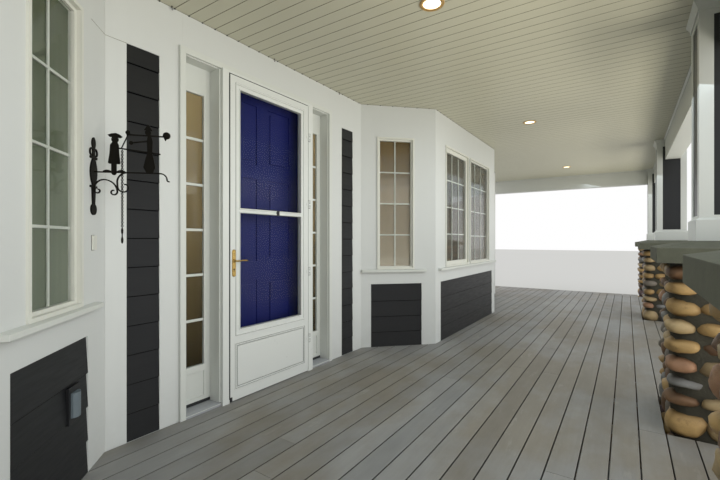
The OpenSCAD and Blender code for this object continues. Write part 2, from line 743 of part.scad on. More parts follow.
// Columns and piers
module at_columns() at_wall() for (x = cols) translate([x, col_y, 0]) children();
module column_faces() for (a = [0, 90, 180, 270]) rotate([0, 0, a]) children();
module columns() color("white") at_columns() difference() {
    box([-col_w / 2, -col_w / 2, cap_top], [col_w / 2, col_w / 2, ceiling_h]);
    column_faces() box([corner_w - col_w / 2, -col_w / 2 - eps, col_panel_low],
        [col_w / 2 - corner_w, col_panel_d - col_w / 2, col_panel_top]);
}
module column_panels() color("black") at_columns() column_faces()
    box([corner_w - col_w / 2, col_panel_d - dark_t - col_w / 2, col_panel_low],
        [col_w / 2 - corner_w, col_panel_d - col_w / 2, col_panel_top]);
module column_trim() color("white") at_wall() difference() {
    for (x = cols) translate([x, col_y, 0]) difference() {
        union() {
            translate([0, 0, cap_top + base_h - base_slope]) frustum(base_w, col_w, base_slope);
            box([-base_w / 2, -base_w / 2, cap_top],
                [base_w / 2, base_w / 2, cap_top + base_h - base_slope]);
            translate([0, 0, ceiling_h - crown_h]) linear_extrude(crown_h - crown_top)
                square(col_w + 2 * crown_band, center = true);
            translate([0, 0, ceiling_h - crown_top]) mirror([0, 0, 1])
                frustum(col_w + 2 * crown_out, col_w + 2 * crown_band, crown_h / 2);
            translate([0, 0, ceiling_h - crown_top]) linear_extrude(crown_top)
                square(col_w + 2 * crown_out, center = true);
        }
        box([-col_w / 2, -col_w / 2, cap_top - eps], [col_w / 2, col_w / 2, ceiling_h + eps]);
    }
    box([-beam_end, beam_y - beam_w / 2, beam_low], [beam_end, beam_y + beam_w / 2, ceiling_h + eps]);
    both() box([beam_end - beam_w / 2, col_y, beam_low],
        [beam_end + beam_w / 2, side_back, ceiling_h + eps]);
}
module piers() color("peru") at_columns()
    box([-pier_w / 2, -pier_w / 2, -deck_h], [pier_w / 2, pier_w / 2, cap_low]);
module pier_caps() color("darkgray") at_columns() {
    box([-cap_w / 2, -cap_w / 2, cap_low], [cap_w / 2, cap_w / 2, cap_low + cap_edge]);
    translate([0, 0, cap_low + cap_edge]) frustum(cap_w, base_w, cap_wash);
}

// Roof
module roof() color("dimgray") at_wall() difference() {
    under_roof(roof_t, rafter_z - eps);
    under_roof(0, rafter_z - 2 * eps);
    translate([0, 0, -roof_run]) house_room();
    house_room();
}
module roof_edge(inset, low, high)
    box([inset - eave_x, eave_y + inset, low], [eave_x - inset, 2 * side_back, high]);
module fascia() color("white") at_wall() {
    intersection() {
        under_roof(0, fascia_low);
        difference() {
            roof_edge(fascia_in, fascia_low, rafter_z + roof_run);
            roof_edge(fascia_in + fascia_t, fascia_low - eps, rafter_z + roof_run + eps);
        }
    }
    intersection() {
        under_roof(0, ceiling_h + ceiling_t);
        both() box([house_half, side_back - fascia_t, ceiling_h + ceiling_t],
            [eave_x - fascia_in - fascia_t, side_back, rafter_z + roof_run]);
    }
}
module soffit() color("white") at_wall() translate([0, 0, ceiling_h]) linear_extrude(ceiling_t)
    difference() {
        edge = fascia_in + fascia_t;
        x = beam_end + beam_w / 2;
        y = beam_y - beam_w / 2;
        translate([edge - eave_x, eave_y + edge])
            square([2 * (eave_x - edge), side_back - eave_y - edge]);
        translate([-x, y]) square([2 * x, side_back - y + eps]);
    }

// Iron bell bracket on the left bay, drawn in its own upright plane:
// the first coordinate runs out from the wall, the second up
module on_left_bay() at_wall() mirror([1, 0, 0]) on_inner_side() children();
module at_bracket() on_left_bay() translate([bell_s, -scribe, bell_arm_z]) children();
module iron() translate([-iron_t / 2, 0, 0]) along_x(iron_t) mirror([1, 0]) children();
// A bar bent from angle a0 to a1 while its radius goes from r0 to r1
module scroll(r0, r1, a0, a1) {
    steps = ceil(abs(a1 - a0) / 12);
    turns = [for (i = [0:steps]) [r0 + (r1 - r0) * i / steps, a0 + (a1 - a0) * i / steps]];
    polygon(concat([for (t = turns) (t[0] + iron_w / 2) * [cos(t[1]), sin(t[1])]],
        [for (i = [steps:-1:0]) (turns[i][0] - iron_w / 2) * [cos(turns[i][1]), sin(turns[i][1])]]));
}
module bar(a, b, w = iron_w) {
    side = w / 2 * [a[1] - b[1], b[0] - a[0]] / norm(b - a);
    polygon([a + side, a - side, b - side, b + side]);
}
// A pointed oval, w wide and h high from its middle
module leaf(w, h) {
    r = (w * w + h * h) / (2 * w);
    intersection_for (s = [-1, 1]) translate([s * (r - w), 0]) circle(r, $fn = 72);
}
module wall_plate() translate([0, -plate_t, 0]) along_y(plate_t) mirror([1, 0]) {
    translate([0, 152]) leaf(20, 33);
    translate([-12, 60]) square([24, 80]);
    for (s = [0, 1]) mirror([s, 0]) translate([22, 100]) scroll(24, 16, 125, -80);
    for (v = [73, -86]) translate([-38, v - 6]) square([76, 12]);
    translate([0, -6]) leaf(38, 84);
    polygon([[-20, -80], [20, -80], [11, -195], [-11, -195]]);
    translate([0, -210]) leaf(31, 31);
}
// The figure with a wide hat that stands by the wall
module near_figure() {
    translate([-19, -iron_w]) square([26, 60]);
    translate([-6, -iron_w]) circle(12, $fn = 32);
    polygon([[-36, 47], [-30, 44], [20, 42], [26, 46], [20, 100], [18, 148], [10, 166],
        [-12, 166], [-25, 148], [-28, 100]]);
    translate([-1, 178]) circle(18, $fn = 32);
    polygon([[-37, 203], [-28, 192], [0, 190], [26, 187], [37, 195], [22, 207], [4, 214],
        [-18, 211]]);
}
// The taller figure with a peaked hat that stands under the bell
module far_figure() {
    polygon([[-15, -eps], [20, -eps], [31, 28], [24, 72], [15, 110], [18, 175], [9, 212],
        [-7, 212], [-13, 175], [-10, 110], [-21, 72], [-31, 28]]);
    translate([-6, 224]) circle(16, $fn = 32);
    polygon([[-28, 238], [18, 233], [10, 248], [-6, 272], [-20, 250]]);
}
module lower_scrolls() {
    translate([56, -92]) scroll(47, 47, 180, 90);
    translate([56, -112]) scroll(67, 67, 90, 0);
    bar([9, -91], [9, -107]);
    translate([25, -106]) scroll(16, 7, 180, 450);
    translate([104, -112]) scroll(19, 8, 0, -290);
    translate([174, -iron_w / 2 - 52]) scroll(52, 52, 90, 180);
    bar([122, -iron_w / 2 - 51], [124, -85]);
    translate([158, -84]) scroll(34, 14, 180, 450);
}
module bell_bracket() color("black") at_bracket() {
    wall_plate();
    iron() {
        translate([plate_t - eps, -iron_w]) square([bell_arm - plate_t + 2 * eps, iron_w]);
        for (u = [-40, 30]) translate([near_u + u, 2]) rotate(90) leaf(8, 22);
        translate([near_u, 0]) near_figure();
        translate([far_u, 0]) far_figure();
        bar([near_u + 10, rod_v + 4], [bell_arm, rod_v - 23]);
        bar([near_u + 30, rod_v], [near_u + 65, bell_v], 4);
        translate([near_u + 65, bell_v + 12]) scroll(9, 9, 0, 360);
        bar([near_u + 58, bell_v], [bell_arm + 20, bell_v - 3]);
        bar([near_u + 82, 163], [far_u, 178]);
        translate([near_u + 82, 163]) circle(11, $fn = 32);
        lower_scrolls();
        translate([bell_arm, -iron_w / 2 - 35]) scroll(35, 35, 91, 0);
        translate([bell_arm + 44, -iron_w / 2 - 35]) scroll(9, 9, 179, 300);
    }
    translate([0, -bell_arm - 33, bell_v + 4]) sphere(bell_r, $fn = 48);
    translate([0, -bell_arm - 27, bell_v - bell_r - 6]) cylinder(r1 = 2, r2 = 8, h = 14, $fn = 32);
    translate([0, -chain_u, rod_v]) rotate([0, 90, 0])
        cylinder(r = pin_r, h = iron_t / 2 + link_w + 2, $fn = 24);
}
module bell_pull() color("black") at_bracket()
    translate([iron_t / 2 + 1 + link_w / 2, -chain_u, rod_v - pin_r - scribe - chain_len]) {
        cylinder(r = link_w / 2, h = chain_len, $fn = 16);
        translate([0, 0, -pull_len]) rotate_extrude($fn = 32) polygon([[0, 0], [2, 0],
            [handle_r, pull_len * 0.15], [handle_r, pull_len * 0.3], [3, pull_len * 0.45],
            [3, pull_len * 0.6], [handle_r, pull_len * 0.75], [handle_r, pull_len * 0.9],
            [2, pull_len + eps], [0, pull_len + eps]]);
    }
module step_light() color("black") on_left_bay()
    translate([step_s, pocket_d - lap_thick - step_t, step_z]) difference() {
        box([0, 0, 0], [step_w, step_t, step_h]);
        box([step_rim, -eps, step_foot], [step_w - step_rim, step_t + eps, step_h - step_foot]);
    }
module step_lens() color("silver") on_left_bay()
    translate([step_s + step_w / 2, pocket_d - lap_thick, step_z + step_foot]) intersection() {
        cylinder(r = step_w * 0.4, h = step_h - 2 * step_foot, $fn = 40);
        box([step_rim - step_w / 2, -step_w / 2, -eps], [step_w / 2 - step_rim, 0, step_h]);
    }
module doorbell() color("white") on_left_bay() translate([bell_s, 0, button_z])
    box([-button_w / 2, -button_t, 0], [button_w / 2, 0, button_h]);

deck_floor();
deck_frame();
wall_left();
wall_right();
wall_over_entry();
bay_side_walls();
bay_front_walls();
end_walls();
upper_wall();
room_floors();
bay_side_frames();
bay_side_glass();
bay_front_frames();
bay_front_glass();
window_sills();
siding_strips();
bay_panels();
entry_casing();
entry_posts();
entry_head();
sidelight_frames();
sidelight_glass();
threshold();
storm_frame();
storm_hinges();
storm_door();
storm_glass();
storm_plate();
storm_lever();
entry_door();
entry_hinges();
entry_knobs();
ceiling();
downlights();
front_beams();
side_beams();
columns();
column_panels();
column_trim();
piers();
pier_caps();
roof();
fascia();
soffit();
bell_bracket();
bell_pull();
step_light();
step_lens();
doorbell();
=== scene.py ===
# Front porch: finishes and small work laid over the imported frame
import math
import random

import bmesh
import bpy
from mathutils import Matrix, Vector, noise


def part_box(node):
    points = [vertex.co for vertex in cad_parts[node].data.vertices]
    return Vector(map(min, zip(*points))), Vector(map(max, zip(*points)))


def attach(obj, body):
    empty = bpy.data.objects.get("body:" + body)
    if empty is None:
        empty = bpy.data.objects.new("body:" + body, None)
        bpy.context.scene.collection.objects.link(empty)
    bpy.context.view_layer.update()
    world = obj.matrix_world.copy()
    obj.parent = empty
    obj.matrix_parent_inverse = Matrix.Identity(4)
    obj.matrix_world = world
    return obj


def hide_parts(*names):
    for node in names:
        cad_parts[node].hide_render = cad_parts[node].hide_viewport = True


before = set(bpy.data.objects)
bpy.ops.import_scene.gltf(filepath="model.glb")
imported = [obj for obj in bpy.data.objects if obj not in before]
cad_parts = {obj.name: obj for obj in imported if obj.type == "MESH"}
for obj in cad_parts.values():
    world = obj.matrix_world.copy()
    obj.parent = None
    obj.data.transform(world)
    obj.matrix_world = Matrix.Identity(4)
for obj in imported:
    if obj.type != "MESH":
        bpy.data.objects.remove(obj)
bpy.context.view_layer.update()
print("frame loaded")

# Places read from the frame
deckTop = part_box("deck_floor")[1].z
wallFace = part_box("wall_right")[0].y
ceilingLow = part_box("ceiling")[0].z
entryLow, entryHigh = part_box("entry_head")
entryX = (entryLow.x + entryHigh.x) / 2
diagonal = math.sqrt(0.5)
upright = Vector((0, 0, 1))

# Camera

cameraAt = {
    "place": (-2.44, -1.0745, 1.430),
    "turn": 56.03,  # degrees to the right of straight at the house wall
    "lens": 19.8,
    "sensor": 36,
}


def addObject(name, data):
    obj = bpy.data.objects.new(name, data)
    bpy.context.scene.collection.objects.link(obj)
    return obj


cameraData = bpy.data.cameras.new("camera")
cameraData.lens = cameraAt["lens"]
cameraData.sensor_width = cameraAt["sensor"]
cameraData.clip_start = 0.02
cameraData.clip_end = 200
camera = addObject("camera", cameraData)
camera.location = cameraAt["place"]
camera.rotation_euler = (math.radians(90), 0, -math.radians(cameraAt["turn"]))
bpy.context.scene.camera = camera


# Shader helpers


def feed(tree, node, sources):
    # an input is linked, or set where its source is a number or a tuple
    for key, source in sources.items():
        socket = node.inputs[key]
        if isinstance(source, (int, float)):
            socket.default_value = source
        elif isinstance(source, tuple):
            socket.default_value = (*source, 1)[:len(socket.default_value)]
        else:
            tree.links.new(source, socket)
    return node


def newNode(tree, kind, sources):
    return feed(tree, tree.nodes.new("ShaderNode" + kind), sources)


def objectPlace(tree):
    return tree.nodes.new("ShaderNodeTexCoord").outputs["Object"]


def noiseAt(tree, vector, scale, detail, rough):
    sources = {"Vector": vector, "Scale": scale, "Detail": detail, "Roughness": rough}
    return newNode(tree, "TexNoise", sources).outputs["Fac"]


def mapped(tree, value, low, high, toLow=0.0, toHigh=1.0):
    sources = {"Value": value, "From Min": low, "From Max": high, "To Min": toLow, "To Max": toHigh}
    return newNode(tree, "MapRange", sources).outputs["Result"]


def maths(tree, operation, *values):
    node = tree.nodes.new("ShaderNodeMath")
    node.operation = operation
    return feed(tree, node, dict(enumerate(values))).outputs[0]


def mixed(tree, factor, colourA, colourB, blend="MIX"):
    node = tree.nodes.new("ShaderNodeMix")
    node.data_type = "RGBA"
    node.blend_type = blend
    return feed(tree, node, {0: factor, 6: colourA, 7: colourB}).outputs[2]


def over(tree, colour, layer, mask, share=1.0):
    # a layer of another colour where its mask is
    return mixed(tree, maths(tree, "MULTIPLY", mask, share), colour, layer)


def toneColour(tree, colour, *tones):
    for tone in tones:
        grey = newNode(tree, "CombineColor", {0: tone, 1: tone, 2: tone})
        colour = mixed(tree, 1.0, colour, grey.outputs[0], "MULTIPLY")
    return colour


def paintedTone(tree):
    node = tree.nodes.new("ShaderNodeAttribute")
    node.attribute_name = "tone"
    return node.outputs["Color"]


def newGroup(name, inputs, outputs):
    group = bpy.data.node_groups.new(name, "ShaderNodeTree")
    for label, kind, value in inputs:
        socket = group.interface.new_socket(label, in_out="INPUT", socket_type="NodeSocket" + kind)
        socket.default_value = value
    for label, kind in outputs:
        group.interface.new_socket(label, in_out="OUTPUT", socket_type="NodeSocket" + kind)
    return group, group.nodes.new("NodeGroupInput").outputs, group.nodes.new("NodeGroupOutput")


def stretched(tree, start):
    # object coordinates in metres, stretched along the run of the board
    node = tree.nodes.new("ShaderNodeVectorMath")
    node.operation = "MULTIPLY"
    return feed(tree, node, {0: objectPlace(tree), 1: start["Stretch"]}).outputs[0]


def makeGrain():
    group, start, end = newGroup(
        "grain",
        [("Scale", "Float", 30.0), ("Stretch", "Vector", (1, 1, 1)), ("Contrast", "Float", 0.5)],
        [("Tone", "Float"), ("Height", "Float")],
    )
    vector = stretched(group, start)
    fine = noiseAt(group, vector, start["Scale"], 6, 0.6)
    coarse = noiseAt(group, vector, maths(group, "MULTIPLY", start["Scale"], 0.13), 3, 0.55)
    both = maths(group, "MULTIPLY_ADD", fine, 0.5, maths(group, "MULTIPLY", coarse, 0.5))
    tone = maths(group, "MULTIPLY_ADD", maths(group, "SUBTRACT", both, 0.5), start["Contrast"], 1.0)
    feed(group, end, {"Tone": tone, "Height": fine})
    return group


def makeSpots():
    group, start, end = newGroup(
        "spots",
        [("Scale", "Float", 40.0), ("Stretch", "Vector", (1, 1, 1)), ("Amount", "Float", 0.3)],
        [("Mask", "Float")],
    )
    value = noiseAt(group, stretched(group, start), start["Scale"], 5, 0.65)
    edge = maths(group, "SUBTRACT", 0.78, maths(group, "MULTIPLY", start["Amount"], 0.3))
    feed(group, end, {"Mask": mapped(group, value, edge, maths(group, "ADD", edge, 0.06))})
    return group


def makeEdges():
    # rounded edges and a mask of where they are
    group, start, end = newGroup(
        "edges", [("Radius", "Float", 0.003)], [("Normal", "Vector"), ("Mask", "Float")]
    )
    bevel = newNode(group, "Bevel", {"Radius": start["Radius"]})
    bevel.samples = 4
    geometry = group.nodes.new("ShaderNodeNewGeometry")
    dot = group.nodes.new("ShaderNodeVectorMath")
    dot.operation = "DOT_PRODUCT"
    feed(group, dot, {0: bevel.outputs[0], 1: geometry.outputs["Normal"]})
    mask = mapped(group, dot.outputs["Value"], 1.0, 0.7)
    feed(group, end, {"Normal": bevel.outputs[0], "Mask": mask})
    return group


def makeGrime():
    # soft dirt that gathers low down
    group, start, end = newGroup(
        "grime",
        [("Low", "Float", 0.19), ("High", "Float", 0.7), ("Scale", "Float", 6.0)],
        [("Mask", "Float")],
    )
    coords = objectPlace(group)
    rise = newNode(group, "SeparateXYZ", {0: coords}).outputs["Z"]
    level = mapped(group, rise, start["High"], start["Low"])
    spread = mapped(group, noiseAt(group, coords, start["Scale"], 6, 0.7), 0.35, 0.75)
    feed(group, end, {"Mask": maths(group, "MULTIPLY", level, spread)})
    return group


grainGroup = makeGrain()
spotsGroup = makeSpots()
edgesGroup = makeEdges()
grimeGroup = makeGrime()


def useGroup(tree, group, values):
    node = tree.nodes.new("ShaderNodeGroup")
    node.node_tree = group
    return feed(tree, node, values).outputs


def grained(tree, scale, contrast, stretch=(1, 1, 1)):
    return useGroup(tree, grainGroup, {"Scale": scale, "Stretch": stretch, "Contrast": contrast})


def spotted(tree, scale, amount, stretch=(1, 1, 1)):
    return useGroup(tree, spotsGroup, {"Scale": scale, "Stretch": stretch, "Amount": amount})["Mask"]


def rounded(tree, radius):
    return useGroup(tree, edgesGroup, {"Radius": radius})


def setShader(material, sources):
    tree = material.node_tree
    feed(tree, tree.nodes["Principled BSDF"], sources)
    return material


def newFinish(name, fixed):
    material = bpy.data.materials.new(name)
    material.use_nodes = True
    return setShader(material, fixed), material.node_tree


def finished(material, colour, height, strength, distance, **more):
    # colour and bump into the material; more holds a Normal under the bump and a Roughness
    sources = {"Height": height, "Strength": strength, "Distance": distance}
    if "Normal" in more:
        sources["Normal"] = more.pop("Normal")
    bump = newNode(material.node_tree, "Bump", sources)
    return setShader(material, {"Base Color": colour, "Normal": bump.outputs["Normal"], **more})


def tonedFinish(name, fixed, colour, scale, contrast):
    material, tree = newFinish(name, fixed)
    tone = grained(tree, scale, contrast)["Tone"]
    return setShader(material, {"Base Color": toneColour(tree, colour, tone)})


# Finishes

# what the painted woods share
paintLook = {
    "rough": 0.45,
    "gloss": 0.5,
    "grain": 30,
    "edge": 0.002,
    "wear": 0.1,
    "grime": 0.1,
    "grimeTop": 0.5,
    "spotScale": 70,
    "spots": 0.2,
    "bump": 0.12,
    "depth": 0.001,
}


def paintedWood(name, own):
    look = {**paintLook, **own}
    rough = look["rough"]
    material, tree = newFinish(name, {"Specular IOR Level": look["gloss"]})
    grain = grained(tree, look["grain"], look["contrast"], look["stretch"])
    edges = rounded(tree, look["edge"])
    heights = {"Low": deckTop, "High": deckTop + look["grimeTop"]}
    colour = toneColour(tree, look["colour"], grain["Tone"])
    colour = over(tree, colour, look["worn"], edges["Mask"], look["wear"])
    for mask in (useGroup(tree, grimeGroup, heights)["Mask"], spotted(tree, look["spotScale"], look["spots"])):
        colour = over(tree, colour, look["dirt"], mask, look["grime"])
    sheen = mapped(tree, grain["Height"], 0.3, 0.7, rough - 0.06, rough + 0.08)
    return finished(material, colour, grain["Height"], look["bump"], look["depth"],
                    Normal=edges["Normal"], Roughness=sheen)


wallPaint = paintedWood("wallPaint", {
    "colour": (0.612, 0.626, 0.612), "worn": (0.56, 0.55, 0.50), "dirt": (0.34, 0.33, 0.29),
    "grain": 18, "stretch": (1.0, 1.0, 0.10), "contrast": 0.05, "edge": 0.003, "grime": 0.18,
    "spotScale": 48,
})
trimPaint = paintedWood("trimPaint", {
    "colour": (0.62, 0.635, 0.60), "worn": (0.55, 0.54, 0.49), "dirt": (0.36, 0.35, 0.33),
    "rough": 0.42, "grain": 22, "stretch": (1.0, 1.0, 0.12), "contrast": 0.05, "edge": 0.003,
    "wear": 0.12, "grime": 0.16, "spotScale": 55,
})
sidingPaint = paintedWood("sidingPaint", {
    "colour": (0.0105, 0.0112, 0.0128), "worn": (0.06, 0.06, 0.06), "dirt": (0.05, 0.05, 0.048),
    "rough": 0.46, "stretch": (0.22, 0.22, 2.6), "contrast": 0.14, "wear": 0.25,
    "grimeTop": 0.6, "bump": 0.35,
})
panelPaint = paintedWood("panelPaint", {
    "colour": (0.014, 0.015, 0.017), "worn": (0.05, 0.05, 0.05), "dirt": (0.05, 0.05, 0.048),
    "rough": 0.4, "stretch": (1.6, 1.6, 0.16), "contrast": 0.4, "wear": 0.2,
    "grime": 0.08, "grimeTop": 0.6, "bump": 0.4,
})
bluePaint = paintedWood("bluePaint", {
    "colour": (0.0055, 0.0095, 0.105), "worn": (0.03, 0.04, 0.16), "dirt": (0.03, 0.03, 0.06),
    "rough": 0.5, "gloss": 0.2, "grain": 26, "stretch": (1.4, 1.4, 0.12), "contrast": 0.12,
    "grime": 0.05, "grimeTop": 0.4, "spots": 0.1, "bump": 0.2, "depth": 0.0006,
})
# darker and yellower than the walls: painted shade and painted warm light on the ceiling
ceilingPaint = paintedWood("ceilingPaint", {
    "colour": (0.545, 0.53, 0.415), "worn": (0.5, 0.5, 0.45), "dirt": (0.3, 0.3, 0.26),
    "rough": 0.38, "grain": 20, "stretch": (1.2, 0.1, 1.2), "contrast": 0.06, "wear": 0.0,
    "grimeTop": 0.1, "spotScale": 60, "spots": 0.1, "bump": 0.15, "depth": 0.0008,
})
framingTimber = paintedWood("framingTimber", {
    "colour": (0.36, 0.26, 0.15), "worn": (0.3, 0.24, 0.17), "dirt": (0.12, 0.10, 0.08),
    "rough": 0.7, "grain": 40, "stretch": (1, 0.08, 1), "contrast": 0.6, "grime": 0.4,
    "grimeTop": 0.3, "spotScale": 20, "spots": 0.4, "bump": 0.4, "depth": 0.002,
})


def smoothFinish(name, colour, rough, metal=0.0, bump=0.1, scale=60.0, contrast=0.06,
                 worn=None, wear=0.0, gloss=0.5):
    # moulded, baked or cast surfaces: fine mottling, softened edges
    material, tree = newFinish(name, {"Metallic": metal, "Specular IOR Level": gloss})
    grain, edges = grained(tree, scale, contrast), rounded(tree, 0.0015)
    colour = over(tree, toneColour(tree, colour, grain["Tone"]), worn or colour, edges["Mask"], wear)
    sheen = mapped(tree, grain["Height"], 0.3, 0.7, max(rough - 0.05, 0.03), rough + 0.07)
    return finished(material, colour, grain["Height"], bump, 0.001, Normal=edges["Normal"], Roughness=sheen)


windowVinyl = smoothFinish("windowVinyl", (0.66, 0.66, 0.60), 0.35, bump=0.05)
doorEnamel = smoothFinish("doorEnamel", (0.66, 0.675, 0.65), 0.32, bump=0.0, scale=25, contrast=0.01)
brassFinish = smoothFinish("brassFinish", (0.80, 0.55, 0.18), 0.18, 1.0, bump=0.08, contrast=0.25,
                           worn=(0.95, 0.78, 0.4), wear=0.5)
sillMetal = smoothFinish("sillMetal", (0.36, 0.37, 0.39), 0.45, 0.1, bump=0.2, scale=120, contrast=0.25)
ironFinish = smoothFinish("ironFinish", (0.0065, 0.0055, 0.004), 0.55, bump=0.6, scale=160, contrast=0.6,
                          worn=(0.03, 0.026, 0.02), wear=0.3, gloss=0.15)
# near-black, for the step light's housing and the hooks, and for painted shade in joints and groove ends
blackAndShade = smoothFinish("blackAndShade", (0.012, 0.012, 0.014), 0.42, bump=0.2, scale=90, contrast=0.3,
                            worn=(0.05, 0.05, 0.05), wear=0.4)
lensFinish = smoothFinish("lensFinish", (0.13, 0.16, 0.18), 0.4, bump=0.3, scale=180, contrast=0.1)
goldTrim = smoothFinish("goldTrim", (0.60, 0.38, 0.14), 0.35, 0.3, bump=0.05, contrast=0.1)
grooveShade = smoothFinish("grooveShade", (0.20, 0.19, 0.13), 0.6, bump=0.05)
lapShade = smoothFinish("lapShade", (0.0025, 0.0025, 0.0025), 0.8, bump=0.05, gloss=0.05)
# near-black, for rubber parts and for painted shade in gaps, grooves and holes
rubberAndShade = smoothFinish("rubberAndShade", (0.02, 0.02, 0.022), 0.6, bump=0.3, scale=100, contrast=0.2)


def makeFloorWood():
    material, tree = newFinish("floorWood", {"Roughness": 0.35})
    boards = newNode(tree, "TexBrick", {
        "Scale": 1.0, "Brick Width": 1.1, "Row Height": 0.09, "Mortar Size": 0.0015,
        "Color1": (0.42, 0.28, 0.15), "Color2": (0.30, 0.18, 0.09), "Mortar": (0.05, 0.03, 0.02),
        "Vector": objectPlace(tree),
    })
    grain = grained(tree, 35.0, 0.5, (0.1, 1.3, 1))
    colour = toneColour(tree, boards.outputs["Color"], grain["Tone"])
    return finished(material, colour, grain["Height"], 0.2, 0.001)


def makeConcrete():
    look = {"base": (0.105, 0.108, 0.078), "pale": (0.27, 0.265, 0.22), "dark": (0.07, 0.07, 0.055)}
    material, tree = newFinish("castConcrete", {"Roughness": 0.8})
    blotch, fine = grained(tree, 9.0, 0.9), grained(tree, 140.0, 0.5)
    pits, edges = spotted(tree, 90.0, 0.5), rounded(tree, 0.006)
    colour = toneColour(tree, look["base"], blotch["Tone"], fine["Tone"])
    colour = over(tree, colour, look["pale"], edges["Mask"], 0.5)
    colour = over(tree, colour, look["dark"], pits)
    relief = maths(tree, "SUBTRACT", fine["Height"], pits)
    return finished(material, colour, relief, 0.5, 0.002, Normal=edges["Normal"])


def makeDeckPaint():
    look = {
        "paint": (0.268, 0.265, 0.255),
        "scuffed": (0.34, 0.325, 0.29),
        "brown": (0.82, 0.76, 0.66),
        "dirt": (0.080, 0.070, 0.055),
        "chip": (0.03, 0.026, 0.022),
    }
    material, tree = newFinish("deckPaint", {"Roughness": 0.62})
    grain = grained(tree, 30.0, 0.38, (0.10, 1.5, 1.0))
    patches = grained(tree, 5.0, 0.75, (0.45, 1.0, 1.0))
    scuffs = spotted(tree, 9.0, 0.55, (0.35, 1.4, 1.0))
    flecks = spotted(tree, 38.0, 0.12, (0.6, 1.0, 1.0))
    stains = grained(tree, 1.15, 0.5, (0.7, 1.1, 1.0))
    edges = rounded(tree, 0.004)
    colour = toneColour(tree, look["paint"], grain["Tone"], patches["Tone"])
    stained = mixed(tree, 1.0, colour, look["brown"], "MULTIPLY")
    colour = mixed(tree, mapped(tree, stains["Height"], 0.44, 0.60), colour, stained)
    colour = over(tree, colour, look["scuffed"], scuffs, 0.35)
    # the rounded edges darker: dirt, and painted shade along the gaps between boards
    colour = over(tree, colour, look["dirt"], edges["Mask"], 0.45)
    colour = over(tree, colour, look["chip"], flecks)
    colour = mixed(tree, 1.0, colour, paintedTone(tree), "MULTIPLY")
    return finished(material, colour, grain["Height"], 0.35, 0.0012, Normal=edges["Normal"])


def makeStone():
    material, tree = newFinish("riverStone", {})
    veins, fine = grained(tree, 14.0, 1.1, (1, 1, 1.8)), grained(tree, 120.0, 0.5)
    colour = toneColour(tree, paintedTone(tree), veins["Tone"], fine["Tone"])
    colour = over(tree, colour, (0.16, 0.085, 0.035), spotted(tree, 11.0, 0.6), 0.45)
    sheen = mapped(tree, fine["Height"], 0.3, 0.7, 0.42, 0.66)
    return finished(material, colour, fine["Height"], 0.35, 0.0025, Roughness=sheen)


def makeMortar():
    material, tree = newFinish("greyMortar", {"Roughness": 0.95})
    rough, patch = grained(tree, 70.0, 0.9), grained(tree, 8.0, 0.7)
    colour = toneColour(tree, (0.052, 0.048, 0.035), rough["Tone"], patch["Tone"])
    return finished(material, colour, rough["Height"], 0.8, 0.006)


def makeShingle():
    material, tree = newFinish("shingleFelt", {"Roughness": 0.95})
    grit, patch = grained(tree, 420.0, 1.2), grained(tree, 2.0, 0.5)
    colour = mixed(tree, 1.0, (0.12, 0.118, 0.115), paintedTone(tree), "MULTIPLY")
    colour = toneColour(tree, colour, grit["Tone"], patch["Tone"])
    return finished(material, colour, grit["Height"], 0.6, 0.002)


def makeGlass(name, tint, rough, ior, transmission, paintedRoom):
    material, tree = newFinish(name, {"Roughness": rough, "IOR": ior, "Transmission Weight": transmission})
    ripple = grained(tree, 2.2, 0.1, (1, 1, 0.7))
    colour = toneColour(tree, tint, ripple["Tone"])
    # the room backs take their painted light and shade from the tone colours
    if paintedRoom:
        colour = mixed(tree, 1.0, colour, paintedTone(tree), "MULTIPLY")
    return finished(material, colour, ripple["Height"], 0.03, 0.004)


floorWood = makeFloorWood()
castConcrete = makeConcrete()
deckPaint = makeDeckPaint()
riverStone = makeStone()
greyMortar = makeMortar()
shingleFelt = makeShingle()
clearGlass = makeGlass("clearGlass", (0.95, 0.97, 0.97), 0.015, 1.11, 1.0, False)
shadedGlass = makeGlass("shadedGlass", (1.0, 1.0, 1.0), 0.03, 1.3, 0.0, True)
lampDiffuser = tonedFinish(
    "lampDiffuser",
    {"Roughness": 0.4, "Emission Color": (1.0, 0.83, 0.55), "Emission Strength": 2.2},
    (0.95, 0.86, 0.62), 90.0, 0.1,
)
print("finishes made")


# Mesh helpers


def solidsOf(nodeName):
    # corner points of each separate solid of a node
    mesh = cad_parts[nodeName].data
    parent = {}

    def root(k):
        while parent[k] != k:
            parent[k] = parent[parent[k]]
            k = parent[k]
        return k

    keys = [tuple(round(c, 4) for c in v.co) for v in mesh.vertices]
    for key in keys:
        parent.setdefault(key, key)
    for face in mesh.polygons:
        first = root(keys[face.vertices[0]])
        for k in face.vertices[1:]:
            parent[root(keys[k])] = first
    groups = {}
    for key in parent:
        groups.setdefault(root(key), []).append(Vector(key))
    return list(groups.values())


def spanOf(points):
    return Vector([min(p[k] for p in points) for k in range(3)]), Vector([max(p[k] for p in points) for k in range(3)])


def spansOf(nodeName, axis=0):
    # low and high corners of a node's solids, in order along an axis
    return sorted((spanOf(points) for points in solidsOf(nodeName)), key=lambda span: span[0][axis])


def newPiece(name, bm, material, body="root", replaces=(), smooth=False):
    mesh = bpy.data.meshes.new(name)
    bmesh.ops.recalc_face_normals(bm, faces=bm.faces)
    bm.to_mesh(mesh)
    bm.free()
    if smooth:
        mesh.shade_smooth()
    mesh.materials.append(material)
    obj = addObject(name, mesh)
    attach(obj, body)
    if replaces:
        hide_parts(*replaces)
    return obj


